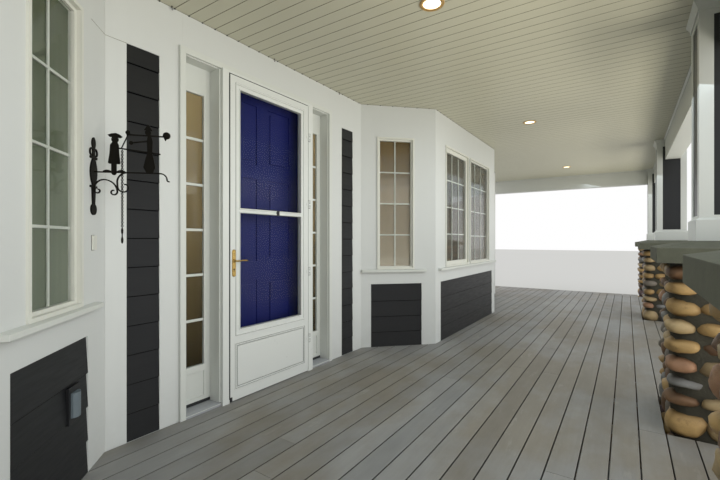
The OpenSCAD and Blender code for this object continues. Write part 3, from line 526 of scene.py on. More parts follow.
def addBox(bm, low, high, place=None, chamfer=0.0):
    made = bmesh.ops.create_cube(bm, size=1.0)["verts"]
    low, high = Vector(low), Vector(high)
    for v in made:
        v.co = v.co * (high - low) + (low + high) / 2
    if chamfer:
        edges = {e for v in made for e in v.link_edges}
        cut = bmesh.ops.bevel(bm, geom=list(edges), offset=chamfer, segments=2, affect="EDGES", profile=0.5)
        made = list({v for f in cut["faces"] for v in f.verts} | {v for v in made if v.is_valid})
    if place is not None:
        for v in made:
            v.co = place @ v.co
    return made


def addPrism(bm, outline, toPoint, low, high):
    # an outline of (a, b) points swept from low to high; toPoint gives the place of (a, b, c)
    rings = [[bm.verts.new(toPoint(a, b, c)) for a, b in outline] for c in (low, high)]
    count = len(outline)
    faces = [bm.faces.new(list(reversed(rings[0]))), bm.faces.new(rings[1])]
    for k in range(count):
        j = (k + 1) % count
        faces.append(bm.faces.new((rings[0][k], rings[0][j], rings[1][j], rings[1][k])))
    return faces


def alongX(a, b, c):
    return Vector((c, a, b))


def alongY(a, b, c):
    return Vector((a, c, b))


def addMould(bm, low, high, edge, y, profile):
    # a mitred moulding round an upright rectangle, edge outside it; profile gives (inset, y) points
    left, right, foot, top = low.x - edge, high.x + edge, low.z - edge, high.z + edge
    corners = ((left, foot, 1, 1), (right, foot, -1, 1), (right, top, -1, -1), (left, top, 1, -1))
    rings = [[bm.verts.new((x + dx * a, y + b, z + dz * a)) for a, b in profile] for x, z, dx, dz in corners]
    for k in range(4):
        near, far = rings[k], rings[(k + 1) % 4]
        for i in range(len(profile)):
            j = (i + 1) % len(profile)
            bm.faces.new((near[i], far[i], far[j], near[j]))


def addTurned(bm, centre, profile, sides=40):
    # a ring or disc turned about an upright line; the profile gives (radius, z) points
    rings = []
    turns = [2 * math.pi * k / sides for k in range(sides)]
    for radius, z in profile:
        if radius == 0:
            rings.append([bm.verts.new(centre + upright * z)] * sides)
        else:
            rings.append([bm.verts.new(centre + Vector((radius * math.cos(a), radius * math.sin(a), z)))
                          for a in turns])
    for near, far in zip(rings, rings[1:] + rings[:1]):
        for i in range(sides):
            j = (i + 1) % sides
            corners = list(dict.fromkeys((near[i], near[j], far[j], far[i])))
            if len(corners) > 2:
                bm.faces.new(corners)


def addTube(bm, points, radius, sides=8, closed=False):
    # a round bar through points; radius is one number or one for each point
    count = len(points)
    rings = []
    for k, point in enumerate(points):
        ahead = points[(k + 1) % count] if closed else points[min(k + 1, count - 1)]
        behind = points[k - 1] if closed or k else points[0]
        run = (ahead - behind).normalized()
        side = run.cross(Vector((0.31, 0.95, 0.07))).normalized()
        up = side.cross(run)
        reach = radius[k] if isinstance(radius, list) else radius
        rings.append([bm.verts.new(point + (side * math.cos(a) + up * math.sin(a)) * reach)
                      for a in (2 * math.pi * i / sides for i in range(sides))])
    for k in range(count if closed else count - 1):
        near, far = rings[k], rings[(k + 1) % count]
        for i in range(sides):
            j = (i + 1) % sides
            bm.faces.new((near[i], near[j], far[j], far[i]))
    if not closed:
        bm.faces.new(list(reversed(rings[0])))
        bm.faces.new(rings[-1])


def paintFaces(bm, faces, colour):
    layer = bm.loops.layers.float_color.get("tone") or bm.loops.layers.float_color.new("tone")
    for face in faces:
        for loop in face.loops:
            loop[layer] = (*colour, 1)


def cutBy(obj, nodeName, grow):
    # keeps what of obj lies inside a node's outline; grow makes the node taller both ways
    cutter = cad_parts[nodeName].copy()
    cutter.data = cutter.data.copy()
    cutter.parent = None
    for key in list(cutter.keys()):
        del cutter[key]
    low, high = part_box(nodeName)
    middle = (low.z + high.z) / 2
    for v in cutter.data.vertices:
        v.co.z += grow if v.co.z > middle else -grow
    bm = bmesh.new()
    bm.from_mesh(cutter.data)
    bmesh.ops.remove_doubles(bm, verts=bm.verts, dist=0.00005)
    bm.to_mesh(cutter.data)
    bm.free()
    bpy.context.scene.collection.objects.link(cutter)
    modifier = obj.modifiers.new("outline", "BOOLEAN")
    modifier.operation = "INTERSECT"
    modifier.solver = "EXACT"
    modifier.object = cutter
    graph = bpy.context.evaluated_depsgraph_get()
    cut = bpy.data.meshes.new_from_object(obj.evaluated_get(graph))
    obj.modifiers.clear()
    obj.data = cut
    bpy.data.objects.remove(cutter)


# CAD pieces and their finishes

dressed = (
    (wallPaint, "wall_left wall_right wall_over_entry bay_side_walls bay_front_walls end_walls upper_wall"),
    (trimPaint, "window_sills entry_casing entry_posts entry_head sidelight_frames front_beams side_beams"),
    (trimPaint, "columns column_trim fascia soffit"),
    (sidingPaint, "siding_strips bay_panels"),
    (panelPaint, "column_panels"),
    (windowVinyl, "bay_side_frames bay_front_frames doorbell"),
    (doorEnamel, "storm_frame storm_hinges storm_door"),
    (brassFinish, "storm_plate storm_lever entry_hinges entry_knobs"),
    (bluePaint, "entry_door"),
    (sillMetal, "threshold"),
    (clearGlass, "storm_glass bay_side_glass bay_front_glass sidelight_glass"),
    (framingTimber, "deck_frame"),
    (floorWood, "room_floors"),
    (castConcrete, "pier_caps"),
    (ironFinish, "bell_bracket bell_pull"),
    (blackAndShade, "step_light"),
    (lensFinish, "step_lens"),
    (lampDiffuser, "downlights"),
    (ceilingPaint, "ceiling"),
    (deckPaint, "deck_floor"),
    (greyMortar, "piers"),
    (shingleFelt, "roof"),
)
for material, nodeNames in dressed:
    for nodeName in nodeNames.split():
        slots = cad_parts[nodeName].data.materials
        slots.clear()
        slots.append(material)
print("frame pieces finished")


# Deck boards

deckLook = {
    "pitch": 0.1445,
    "gap": 0.006,
    "roundOff": 0.003,
    "lengths": [4.88, 5.49, 6.10],
    "side": (0.22, 0.21, 0.20),  # painted shade on the board sides in the gaps
    "arris": (0.5, 0.49, 0.47),
    "seed": 11,
}


def makeDeckBoards():
    rng = random.Random(deckLook["seed"])
    low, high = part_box("deck_floor")
    bm = bmesh.new()
    pitch, gap, r = deckLook["pitch"], deckLook["gap"], deckLook["roundOff"]
    rows = math.ceil((high.y - low.y) / pitch) + 1
    first = wallFace + math.ceil((high.y - wallFace) / pitch) * pitch
    for row in range(rows + 1):
        far = first - row * pitch - gap / 2
        near = far - pitch + gap
        section = [(near, low.z), (far, low.z), (far, high.z - r), (far - r * 0.3, high.z - r * 0.3),
                   (far - r, high.z), (near + r, high.z), (near + r * 0.3, high.z - r * 0.3), (near, high.z - r)]
        x = low.x - rng.uniform(0.2, 4.5)
        while x < high.x:
            end = x + rng.choice(deckLook["lengths"])
            tone = rng.uniform(0.90, 1.08)
            warm = rng.uniform(-0.012, 0.012)
            faces = addPrism(bm, section, alongX, x + 0.001, end - 0.001)
            paintFaces(bm, faces, (tone + warm, tone, tone - warm))
            # painted shade in the gaps: darkest on the board sides, half shade on the rounded edges
            paintFaces(bm, [faces[3], faces[9]], deckLook["side"])
            paintFaces(bm, [faces[4], faces[8]], deckLook["arris"])
            x = end
    board = newPiece("deckBoards", bm, deckPaint, replaces=("deck_floor",))
    cutBy(board, "deck_floor", 0.02)
    return board


deckBoards = makeDeckBoards()
print("deck boards laid", len(deckBoards.data.polygons))


# Ceiling boards

ceilingLook = {
    "pitch": 0.1056,
    "phase": 0.030,
    "vee": 0.0022,  # half width of the groove between boards
    "veeDeep": 0.004,
    "seed": 5,
}


def makeCeilingBoards():
    low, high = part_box("ceiling")
    bm = bmesh.new()
    pitch, vee, deep = ceilingLook["pitch"], ceilingLook["vee"], ceilingLook["veeDeep"]
    rng = random.Random(ceilingLook["seed"])
    count = math.ceil((high.x - low.x) / pitch) + 1
    start = -math.ceil(count / 2) * pitch + ceilingLook["phase"]
    for k in range(count + 1):
        left = start + k * pitch + 0.0003
        right = left + pitch - 0.0006
        section = [(left, low.z + deep), (left + vee, low.z), (right - vee, low.z), (right, low.z + deep),
                   (right, high.z), (left, high.z)]
        faces = addPrism(bm, section, alongY, low.y - 0.1, high.y + 0.1)
        paintFaces(bm, faces, [rng.uniform(0.985, 1.015)] * 3)
    boards = newPiece("ceilingBoards", bm, ceilingPaint, replaces=("ceiling",))
    cutBy(boards, "ceiling", 0.02)
    boards.data.materials.append(grooveShade)
    for face in boards.data.polygons:
        if face.normal.z < -0.2 and abs(face.normal.x) > 0.3:
            face.material_index = 1
    return boards


ceilingBoards = makeCeilingBoards()
print("ceiling boards laid", len(ceilingBoards.data.polygons))


# Cobble piers

pierLook = {
    "courses": [0.200, 0.110, 0.095, 0.130, 0.125, 0.110, 0.140, 0.100, 0.115],  # from the deck up
    "under": [0.08, 0.08],  # below deck level
    "joint": 0.016,
    "core": 0.040,  # how far the mortar lies behind the stones' faces
    "cornerLong": (0.175, 0.215),
    "deep": (0.155, 0.19),
    "sideDeep": (0.12, 0.17),
    "sideWide": 0.17,
    "bulge": 0.028,  # how much wider a side stone is than its share
    "shadeAndSoilDepth": 0.055,  # how deep behind the faces the stones turn dark with painted shade and soil
    "seed": 27,
    "tan": (0.44, 0.285, 0.115),
    "sand": (0.46, 0.34, 0.18),
    "rose": (0.38, 0.21, 0.12),
    "brown": (0.17, 0.095, 0.05),
    "drab": (0.19, 0.165, 0.135),
    "grey": (0.21, 0.21, 0.205),
    "plum": (0.15, 0.10, 0.10),
    "near": ["tan", "brown", "grey", "rose", "tan", "sand", "tan", "tan", "brown"],  # bottom to top
}
stonePalette = ["tan", "tan", "sand", "rose", "brown", "drab", "grey", "plum", "brown", "tan"]


def addStone(bm, centre, size, rng, colour, detail):
    made = bmesh.ops.create_icosphere(bm, subdivisions=detail, radius=1.0)["verts"]
    power = rng.uniform(0.70, 0.86)
    offset = Vector([rng.uniform(-50, 50) for _ in range(3)])
    lean = Matrix.Rotation(rng.uniform(-0.10, 0.10), 4, "Y") @ Matrix.Rotation(rng.uniform(-0.08, 0.08), 4, "X")
    place = Matrix.Translation(centre) @ lean
    taper = rng.uniform(-0.18, 0.18)
    for v in made:
        n = v.co.copy()
        p = Vector([math.copysign(abs(c) ** power, c) for c in n])
        p /= max(p.length, 1e-6) ** 0.35
        p *= 1 + 0.15 * noise.noise(n * 1.3 + offset) + 0.05 * noise.noise(n * 3.0 + offset)
        p.z *= 1 + taper * p.x
        v.co = place @ (p * Vector(size) / 2)
    paintFaces(bm, {f for v in made for f in v.link_faces}, colour)


def addMortarCore(bm, centre, halfW, low, high, rng):
    around, up = 48, 34
    offset = Vector((rng.uniform(-50, 50), 0, 0))
    rings = []
    for j in range(up + 1):
        z = low + (high - low) * j / up
        ring = []
        for i in range(around):
            a = 2 * math.pi * i / around
            c, s = math.cos(a), math.sin(a)
            reach = halfW / (abs(c) ** 9 + abs(s) ** 9) ** (1 / 9)
            p = Vector((c * reach, s * reach, z))
            shift = 0.015 * noise.noise(p * 9 + offset) + 0.009 * noise.noise(p * 34 + offset)
            grown = 1 + shift / halfW
            ring.append(bm.verts.new((centre.x + p.x * grown, centre.y + p.y * grown, z)))
        rings.append(ring)
    for lower, upper in zip(rings, rings[1:]):
        for i in range(around):
            k = (i + 1) % around
            bm.faces.new((lower[i], lower[k], upper[k], upper[i]))
    bm.faces.new(list(reversed(rings[0])))
    bm.faces.new(rings[-1])


def shadeAndSoilStones(stones, centre, halfW):
    # painted shade: the stones turn dark behind their faces, into the joints between them, with a browner soil tint
    layer = stones.loops.layers.float_color["tone"]
    for face in stones.faces:
        for loop in face.loops:
            reach = max(abs(loop.vert.co.x - centre.x), abs(loop.vert.co.y - centre.y))
            shadeAndSoil = min(max((halfW - reach - 0.008) / pierLook["shadeAndSoilDepth"], 0), 1)
            r, g, b, a = loop[layer]
            keep = 1 - 0.8 * shadeAndSoil
            loop[layer] = (r * keep, g * keep * (1 - 0.08 * shadeAndSoil), b * keep * (1 - 0.15 * shadeAndSoil), 1)


def makePier(number, low, high):
    look = pierLook
    rng = random.Random(look["seed"] + number)
    centre = (low + high) / 2
    halfW = (high.x - low.x) / 2
    detail = 3 if abs(centre.x) < 2 else 2  # the two piers beside the steps are seen from near
    stones, mortar = bmesh.new(), bmesh.new()
    addMortarCore(mortar, centre, halfW - look["core"], low.z, high.z - 0.001, rng)
    rows = look["under"] + look["courses"]
    scale = (high.z - low.z - 0.004) / sum(rows)
    z = low.z

    def layStone(shift, size, tone, shade, heights):
        size = (*size, (tall - look["joint"]) * rng.uniform(*heights))
        spot = Vector((centre.x + shift[0], centre.y + shift[1], z + tall / 2))
        addStone(stones, spot, size, rng, [c * shade for c in look[tone]], detail)

    for course, tall in enumerate(rows):
        tall *= scale
        seen = course - len(look["under"])
        ends = {}
        for sx, sy in ((-1, -1), (-1, 1), (1, -1), (1, 1)):
            long, deep = rng.uniform(*look["cornerLong"]), rng.uniform(*look["deep"])
            if tall > 0.15:
                long, deep = 0.215, 0.195
            wide = (long, deep) if (course + (sx > 0) + (sy > 0)) % 2 == 0 else (deep, long)
            reach = halfW - rng.uniform(0.0, 0.012)
            tone = look["near"][seen] if number == 3 and sx < 0 < sy and seen >= 0 else rng.choice(stonePalette)
            layStone((sx * (reach - wide[0] / 2), sy * (reach - wide[1] / 2)), wide, tone,
                     rng.uniform(0.82, 1.12), (0.94, 1.04))
            ends[sx, sy] = wide
        for alongSide, sign in ((True, -1), (True, 1), (False, -1), (False, 1)):
            if alongSide:  # the side that runs along x, at y = sign
                a, b = ends[-1, sign][0], ends[1, sign][0]
            else:
                a, b = ends[sign, -1][1], ends[sign, 1][1]
            free = 2 * halfW - a - b
            shares = [rng.uniform(0.8, 1.2) for _ in range(max(1, round(free / look["sideWide"])))]
            run = -halfW + a
            for share in shares:
                wide = free * share / sum(shares)
                deep = rng.uniform(*look["sideDeep"])
                shift = (run + wide / 2, sign * (halfW - deep / 2 - rng.uniform(0.0, 0.016)))
                size = (wide + look["bulge"], deep)
                run += wide
                if not alongSide:
                    shift, size = shift[::-1], size[::-1]
                shade = rng.uniform(0.75, 1.1)
                layStone(shift, size, rng.choice(stonePalette), shade, (0.86, 1.06))
        z += tall
    for v in stones.verts:
        v.co.z = min(max(v.co.z, low.z), high.z - 0.001)
    shadeAndSoilStones(stones, centre, halfW)
    newPiece("pierStones%d" % (number + 1), stones, riverStone, replaces=("piers",), smooth=True)
    newPiece("pierMortar%d" % (number + 1), mortar, greyMortar, replaces=("piers",), smooth=True)


for number, (low, high) in enumerate(spansOf("piers")):
    makePier(number, low, high)
print("piers laid")


# Shingle roof

roofLook = {
    "course": 0.143,
    "tab": 0.333,
    "slot": 0.008,
    "butt": 0.0070,
    "sunk": 0.009,  # how far the deck under the shingles lies below the outer plane
    "capWide": 0.13,
    "capThick": 0.0085,
    "seed": 4,
}


def clipConvex(points, edgeA, edgeB):
    # keeps the part of a flat outline to the left of edgeA to edgeB
    kept = []
    ex, ey = edgeB[0] - edgeA[0], edgeB[1] - edgeA[1]

    def side(p):
        return ex * (p[1] - edgeA[1]) - ey * (p[0] - edgeA[0])

    for k, p in enumerate(points):
        q = points[(k + 1) % len(points)]
        a, b = side(p), side(q)
        if a >= 0:
            kept.append(p)
        if (a >= 0) != (b >= 0):
            t = a / (a - b)
            kept.append((p[0] + t * (q[0] - p[0]), p[1] + t * (q[1] - p[1])))
    return kept


def areaOf(points):
    return 0.5 * sum(p[0] * q[1] - q[0] * p[1] for p, q in zip(points, points[1:] + points[:1]))


def addLoft(bm, first, last):
    # the solid between two outlines of as many points
    faces = [bm.faces.new(first), bm.faces.new(list(reversed(last)))]
    for k in range(len(first)):
        j = (k + 1) % len(first)
        faces.append(bm.faces.new((first[j], first[k], last[k], last[j])))
    return faces


def makeShingles(slopes, rng):
    look = roofLook
    bm = bmesh.new()
    for corners, normal in slopes:
        up = (upright - normal * normal.z).normalized()
        along = up.cross(normal)
        low = min(p.dot(up) for p in corners)
        outline = [(p.dot(along), p.dot(up) - low) for p in corners]
        if areaOf(outline) < 0:
            outline.reverse()
        level = corners[0].dot(normal)
        left, right = min(p[0] for p in outline), max(p[0] for p in outline)
        top = max(p[1] for p in outline)
        anchor = math.floor(left / look["tab"]) * look["tab"]
        for course in range(math.ceil(top / look["course"])):
            s0 = course * look["course"]
            s1 = s0 + look["course"] + 0.004
            t = anchor - (course % 2) * look["tab"] / 2 - look["tab"]
            while t < right:
                foot, end = s0 + rng.uniform(0, 0.002), t + look["tab"] - look["slot"]
                quad = [(t, foot), (end, foot), (end, s1), (t, s1)]
                t += look["tab"]
                for a, b in zip(outline, outline[1:] + outline[:1]):
                    quad = clipConvex(quad, a, b)
                    if len(quad) < 3:
                        break
                clean = [p for k, p in enumerate(quad) if math.dist(p, quad[k - 1]) > 0.0005]
                if len(clean) < 3 or areaOf(clean) < 0.0006:
                    continue
                tops, feet = [], []
                for a, b in clean:
                    share = (b - s0) / look["course"]
                    lift = -look["sunk"] + 0.0015 + look["butt"] * (1 - share) * 0.95
                    spot = along * a + up * (b + low)
                    tops.append(bm.verts.new(spot + normal * (level + min(lift, -0.0004))))
                    feet.append(bm.verts.new(spot + normal * (level - look["sunk"] - 0.001)))
                tone = rng.uniform(0.72, 1.25)
                paintFaces(bm, addLoft(bm, tops, feet), (tone * 1.01, tone, tone * 0.98))
    newPiece("roofShingles", bm, shingleFelt, replaces=("roof",))


def makeHipCaps(slopes, rng):
    # folded caps along the two hips
    step, capWide = roofLook["course"], roofLook["capWide"]
    hips = bmesh.new()
    frontNormal = max(slopes, key=lambda s: -s[1].y)[1]
    front = [p for c, n in slopes if (n - frontNormal).length < 0.01 for p in c]
    for sign in (-1, 1):
        sideNormal = max(slopes, key=lambda s: s[1].x * sign)[1]
        eave = max(front, key=lambda p: p.x * sign - p.z * 5)
        line = frontNormal.cross(sideNormal).normalized()
        if line.z < 0:
            line = -line
        reach = (wallFace - eave.y) / line.y
        wings = []
        for n, other in ((frontNormal, sideNormal), (sideNormal, frontNormal)):
            wing = line.cross(n).normalized()
            if wing.dot(other) > 0:
                wing = -wing
            wings.append((wing, n))
        outer = (frontNormal + sideNormal).normalized()
        # a cap's wings would pass the eave any lower down
        start = capWide + 0.015
        for k in range(int((reach - 0.16 - start) / step)):
            butt = eave + line * (start + k * step)
            rows = []
            for spot, lift in ((butt, roofLook["capThick"]), (butt + line * (step + 0.02), 0.0015)):
                row = [spot + wings[0][0] * capWide + wings[0][1] * lift, spot + outer * lift,
                       spot + wings[1][0] * capWide + wings[1][1] * lift]
                row += [p - outer * (lift + 0.006) for p in reversed(row)]
                rows.append([hips.verts.new(p) for p in row])
            paintFaces(hips, addLoft(hips, *rows), [rng.uniform(0.75, 1.2)] * 3)
    newPiece("hipCaps", hips, shingleFelt, replaces=("roof",))


def makeRoof():
    rng = random.Random(roofLook["seed"])
    source = bmesh.new()
    source.from_mesh(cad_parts["roof"].data)
    bmesh.ops.remove_doubles(source, verts=source.verts, dist=0.0002)
    base = source.copy()
    bmesh.ops.dissolve_limit(source, angle_limit=0.01, verts=source.verts, edges=source.edges)
    bmesh.ops.bisect_plane(source, geom=source.verts[:] + source.edges[:] + source.faces[:],
                           plane_co=(0, wallFace, 0), plane_no=(0, 1, 0))
    slopes = [([v.co.copy() for v in f.verts], f.normal.copy()) for f in source.faces if f.normal.z > 0.5]
    source.free()
    base.normal_update()
    for v in {v for f in base.faces if f.normal.z > 0.5 for v in f.verts}:
        v.co.z -= roofLook["sunk"]
    paintFaces(base, base.faces, (0.45, 0.45, 0.45))
    newPiece("roofDeck", base, shingleFelt, replaces=("roof",))
    makeShingles(slopes, rng)
    makeHipCaps(slopes, rng)


makeRoof()
print("roof shingled")


# Windows

windowLook = {
    "pane": 0.004,
    "barWide": 0.014,
    "barDeep": 0.009,
    "rows": 4,
    "columns": {"bay_side_glass": 2, "bay_front_glass": 3},
    "lightPane": 0.003,
    "lightRows": 6,
    "lightBar": 0.020,
    # the rooms behind the glass as painted light and shade on a back, at the foot and at the top
    "left": ((0.19, 0.21, 0.155), (0.085, 0.098, 0.055)),
    "right": ((0.42, 0.35, 0.26), (0.16, 0.105, 0.045)),
    "front": ((0.15, 0.125, 0.10), (0.075, 0.065, 0.05)),
    "hall": ((0.035, 0.024, 0.010), (0.34, 0.25, 0.13)),
}


def paneFrame(points):
    # place of a flat upright solid, with local -y outward, and its three half sizes
    def extent(axis):
        reach = [p.dot(axis) for p in points]
        return (min(reach) + max(reach)) / 2, (max(reach) - min(reach)) / 2

    outs = [Vector((0, -1, 0)), Vector((diagonal, -diagonal, 0)), Vector((-diagonal, -diagonal, 0))]
    out = min(outs, key=lambda axis: extent(axis)[1])
    axes = [upright.cross(out), -out, upright]
    centre = sum((axis * extent(axis)[0] for axis in axes), Vector())
    place = Matrix.Translation(centre) @ Matrix(axes).transposed().to_4x4()
    return place, *(extent(axis)[1] for axis in axes)


def addPane(panes, backs, place, wide, deep, tall, thick, colours):
    # clear glass in front, and behind it a back painted with the room's light and shade, in two colours that run into
    # each other
    addBox(panes, (-wide, -deep, -tall), (wide, -deep + thick, tall), place)
    made = addBox(backs, (-wide, deep - thick, -tall), (wide, deep, tall), place)
    faces = {f for v in made for f in v.link_faces}
    paintFaces(backs, faces, colours[0])
    layer = backs.loops.layers.float_color["tone"]
    for face in faces:
        for loop in face.loops:
            if loop.vert.co.z > place.translation.z:
                loop[layer] = (*colours[1], 1)


def makeBayPanes():
    look = windowLook
    both = tuple(look["columns"])
    panes, bars, backs, seams = bmesh.new(), bmesh.new(), bmesh.new(), bmesh.new()
    for node, columns in look["columns"].items():
        for points in solidsOf(node):
            place, wide, deep, tall = paneFrame(points)
            side = "left" if place.translation.x < 0 else "right"
            room = look["front" if node == "bay_front_glass" else side]
            addPane(panes, backs, place, wide, deep, tall, look["pane"], room)
            thin, near = look["barWide"] / 2, -deep + look["pane"] + 0.0015
            far = near + look["barDeep"]
            for k in range(1, columns):
                x = -wide + 2 * wide * k / columns
                addBox(bars, (x - thin, near, -tall), (x + thin, far, tall), place, 0.002)
            for k in range(1, look["rows"]):
                z = -tall + 2 * tall * k / look["rows"]
                addBox(bars, (-wide, near + 0.0004, z - thin), (wide, far - 0.0004, z + thin), place, 0.002)
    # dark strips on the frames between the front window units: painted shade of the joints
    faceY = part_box("bay_front_frames")[0].y
    spans = spansOf("bay_front_glass")
    for first, second in zip(spans[::2], spans[1::2]):
        x = (first[1].x + second[0].x) / 2
        addBox(seams, (x - 0.0025, faceY - 0.0006, first[0].z - 0.04), (x + 0.0025, faceY + 0.001, first[1].z + 0.04))
    newPiece("mullionSeams", seams, blackAndShade)
    newPiece("bayOuterPanes", panes, clearGlass, replaces=both)
    newPiece("bayBars", bars, windowVinyl)
    newPiece("bayPaintedRoomPanes", backs, shadedGlass, replaces=both)


def makeSidelights():
    look = windowLook
    panes, bars, backs = bmesh.new(), bmesh.new(), bmesh.new()
    thin = look["lightBar"] / 2
    for points in solidsOf("sidelight_glass"):
        place, wide, deep, tall = paneFrame(points)
        addPane(panes, backs, place, wide, deep, tall, look["lightPane"], look["hall"])
        for k in range(1, look["lightRows"]):
            z = -tall + 2 * tall * k / look["lightRows"]
            addBox(bars, (-wide - 0.001, -deep - 0.009, z - thin), (wide + 0.001, -deep + 0.0005, z + thin),
                   place, 0.003)
    newPiece("sidelightPanes", panes, clearGlass, replaces=("sidelight_glass",))
    newPiece("sidelightBars", bars, trimPaint)
    newPiece("sidelightBacks", backs, shadedGlass, replaces=("sidelight_glass",))


sidingLook = {
    "exposure": 0.1803,
    "drop": 0.010,  # how far the lowest board is cut short
    "step": 0.0105,
    "proud": 0.006,  # how far a board's foot stands out over the trim
    "shade": 0.0042,
    "sliver": 0.03,
    "ease": 0.0010,
    "ragged": 0.0012,
    "seed": 8,
}


def makeSiding():
    look = sidingLook
    exposure, step, ease = look["exposure"], look["step"], look["ease"]
    rng = random.Random(look["seed"])
    for node, name in (("siding_strips", "stripSiding"), ("bay_panels", "panelSiding")):
        bm, shade = bmesh.new(), bmesh.new()
        for points in solidsOf(node):
            place, wide, deep, tall = paneFrame(points)
            z = -tall - look["drop"]
            while z < tall - 0.001:
                low, top = max(z, -tall), min(z + exposure, tall)
                if tall - top < look["sliver"]:
                    top = tall
                face = -deep + rng.uniform(0, 0.0008) - look["proud"]
                foot, head = face + step * (low - z) / exposure, face + step * (top - z) / exposure
                outline = [(deep, low), (foot + ease, low), (foot, low + ease), (head, top), (deep, top)]
                addPrism(bm, outline, lambda a, b, c: place @ Vector((c, a, b)),
                         -wide + rng.uniform(0, look["ragged"]), wide - rng.uniform(0, look["ragged"]))
                if z > -tall:
                    foot = -deep - look["proud"] + step
                    addBox(shade, (-wide + 0.002, foot - 0.005, z - look["shade"]),
                           (wide - 0.002, foot + 0.004, z + 0.0004), place)
                z += max(exposure, top - z)
        newPiece(name, bm, sidingPaint, replaces=(node,))
        newPiece(name + "Laps", shade, lapShade)


makeBayPanes()
makeSidelights()
makeSiding()
print("windows barred")


# Storm door fittings

stormLook = {
    "recess": 0.004,  # depth of the glass recess behind the leaf's face
    "glassBead": 0.013,
    "stileBead": 0.014,
    "stile": 0.034,  # from the glass to the stile moulding and the kick panel
    "kick": (0.110, 0.425),  # foot and top of the kick panel above the deck
    "kickEdge": 0.024,  # how far the kick moulding reaches outside the pressed panel
    "latchX": 0.054,
    "plateW": 0.034,
    "underDoor": 0.0065,
}
doorLow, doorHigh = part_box("storm_door")
plateLow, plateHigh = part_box("storm_plate")
stormFace = plateHigh.y
recessY = stormFace + stormLook["recess"]
leafRight = 2 * entryX - doorLow.x
stormPanes = spansOf("storm_glass", 2)


def makeStormBeads():
    look = stormLook
    face, stile = stormFace, look["stile"]
    glassLow, glassHigh = stormPanes[0][0], stormPanes[-1][1]
    kickLow = Vector((glassLow.x - stile, 0, deckTop + look["kick"][0]))
    kickHigh = Vector((glassHigh.x + stile, 0, deckTop + look["kick"][1]))
    beads, lines = bmesh.new(), bmesh.new()
    bead = look["glassBead"]
    for low, high in stormPanes:
        addMould(beads, low, high, bead, recessY, (
            (0, 0.002), (0.001, -0.003), (0.005, -0.0055), (0.010, -0.0035), (bead - 0.0002, 0.002)))
        addMould(lines, low, high, 0, recessY, (
            (-0.0012, 0.002), (-0.0012, -0.0012), (0.0010, -0.0006), (0.0010, 0.002)))
    bead = look["stileBead"]
    addMould(beads, glassLow, glassHigh, stile + bead, face, (
        (0, 0.001), (0.0005, -0.0025), (0.004, -0.004), (0.009, -0.004), (0.0125, -0.0015), (bead, 0.003)))
    # a dark line painted as shade at the outer edge of the stile moulding
    addMould(lines, glassLow, glassHigh, stile + bead + 0.0012, face, (
        (0, 0.001), (0, -0.0008), (0.0014, -0.0008), (0.0014, 0.001)))
    addMould(beads, kickLow, kickHigh, look["kickEdge"], face, (
        (0, 0.0055), (0, -0.001), (0.002, -0.003), (0.007, -0.003), (0.009, 0.0005), (0.012, 0.0005),
        (0.014, -0.003), (0.021, -0.003), (0.0235, 0), (0.0245, 0.005), (0.028, 0.005),
        (0.0295, -0.0002), (0.0545, -0.0002), (0.0545, 0.0055)))
    # dark lines painted as shade in the grooves of the kick moulding
    for near, far in ((0.0091, 0.0109), (0.0236, 0.0250)):
        addMould(lines, kickLow, kickHigh, look["kickEdge"], face, (
            (near, 0.002), (near, -0.0008), (far, -0.0008), (far, 0.002)))
    newPiece("stormBeads", beads, doorEnamel, "storm_door")
    newPiece("stormBeadLines", lines, rubberAndShade, "storm_door")


def makeStormEdges():
    face, left, right = stormFace, doorLow.x, leafRight
    sweep = deckTop + stormLook["underDoor"]
    top = doorHigh.z + 0.006
    rubber, expander, feet, strips = bmesh.new(), bmesh.new(), bmesh.new(), bmesh.new()
    # dark strips at the back of the gap by the leaf's left edge and under its foot: rubber, and painted shade of the
    # gap and of the shadow under the leaf
    addBox(rubber, (left - 0.0015, face + 0.001, doorLow.z + 0.002), (left + 0.0005, face + 0.028, doorHigh.z - 0.002))
    addBox(rubber, (left + 0.004, face + 0.004, sweep), (right - 0.004, face + 0.011, sweep + 0.004))
    addBox(rubber, (left - 0.003, face - 0.004, sweep + 0.004), (left + 0.016, face + 0.012, sweep + 0.034))
    middle = (stormPanes[0][1].z + stormPanes[1][0].z) / 2
    spot = entryX + stormLook["latchX"]
    addBox(rubber, (spot - 0.014, face - 0.005, middle - 0.019), (spot + 0.014, recessY + 0.001, middle + 0.019),
           chamfer=0.001)
    addBox(expander, (left + 0.0015, face + 0.0003, sweep + 0.0015), (right - 0.0015, face + 0.014, doorLow.z + 0.012),
           chamfer=0.0008)
    frameLow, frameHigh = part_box("storm_frame")
    for a, b in ((frameLow.x, left - 0.006), (right + 0.006, frameHigh.x)):
        addBox(feet, (a + 0.0003, face + 0.0002, deckTop), (b, face + 0.019, frameLow.z + 0.0005))
    addBox(strips, (left, face + 0.002, top - 0.001), (right, face + 0.02, top + 0.001))
    addBox(strips, (left - 0.0115, face - 0.0005, doorLow.z - 0.008), (left - 0.0055, face + 0.001, top))
    for low, high in spansOf("storm_hinges"):
        if high.z - low.z > 0.005:
            addBox(strips, (low.x + 0.004, face - 0.0012, low.z - 0.003), (high.x + 0.0045, face + 0.0003, high.z + 0.003))
            for share in (0.25, 0.75):
                screw = Vector((high.x - 0.008, face - 0.0025, low.z + (high.z - low.z) * share))
                addTube(strips, [screw, screw + Vector((0, -0.0012, 0))], 0.0028, 10)
    newPiece("stormRubberAndShade", rubber, rubberAndShade, "storm_door")
    newPiece("stormExpander", expander, doorEnamel, "storm_door")
    newPiece("stormFrameFeet", feet, doorEnamel)
    newPiece("stormShadowStrips", strips, rubberAndShade)


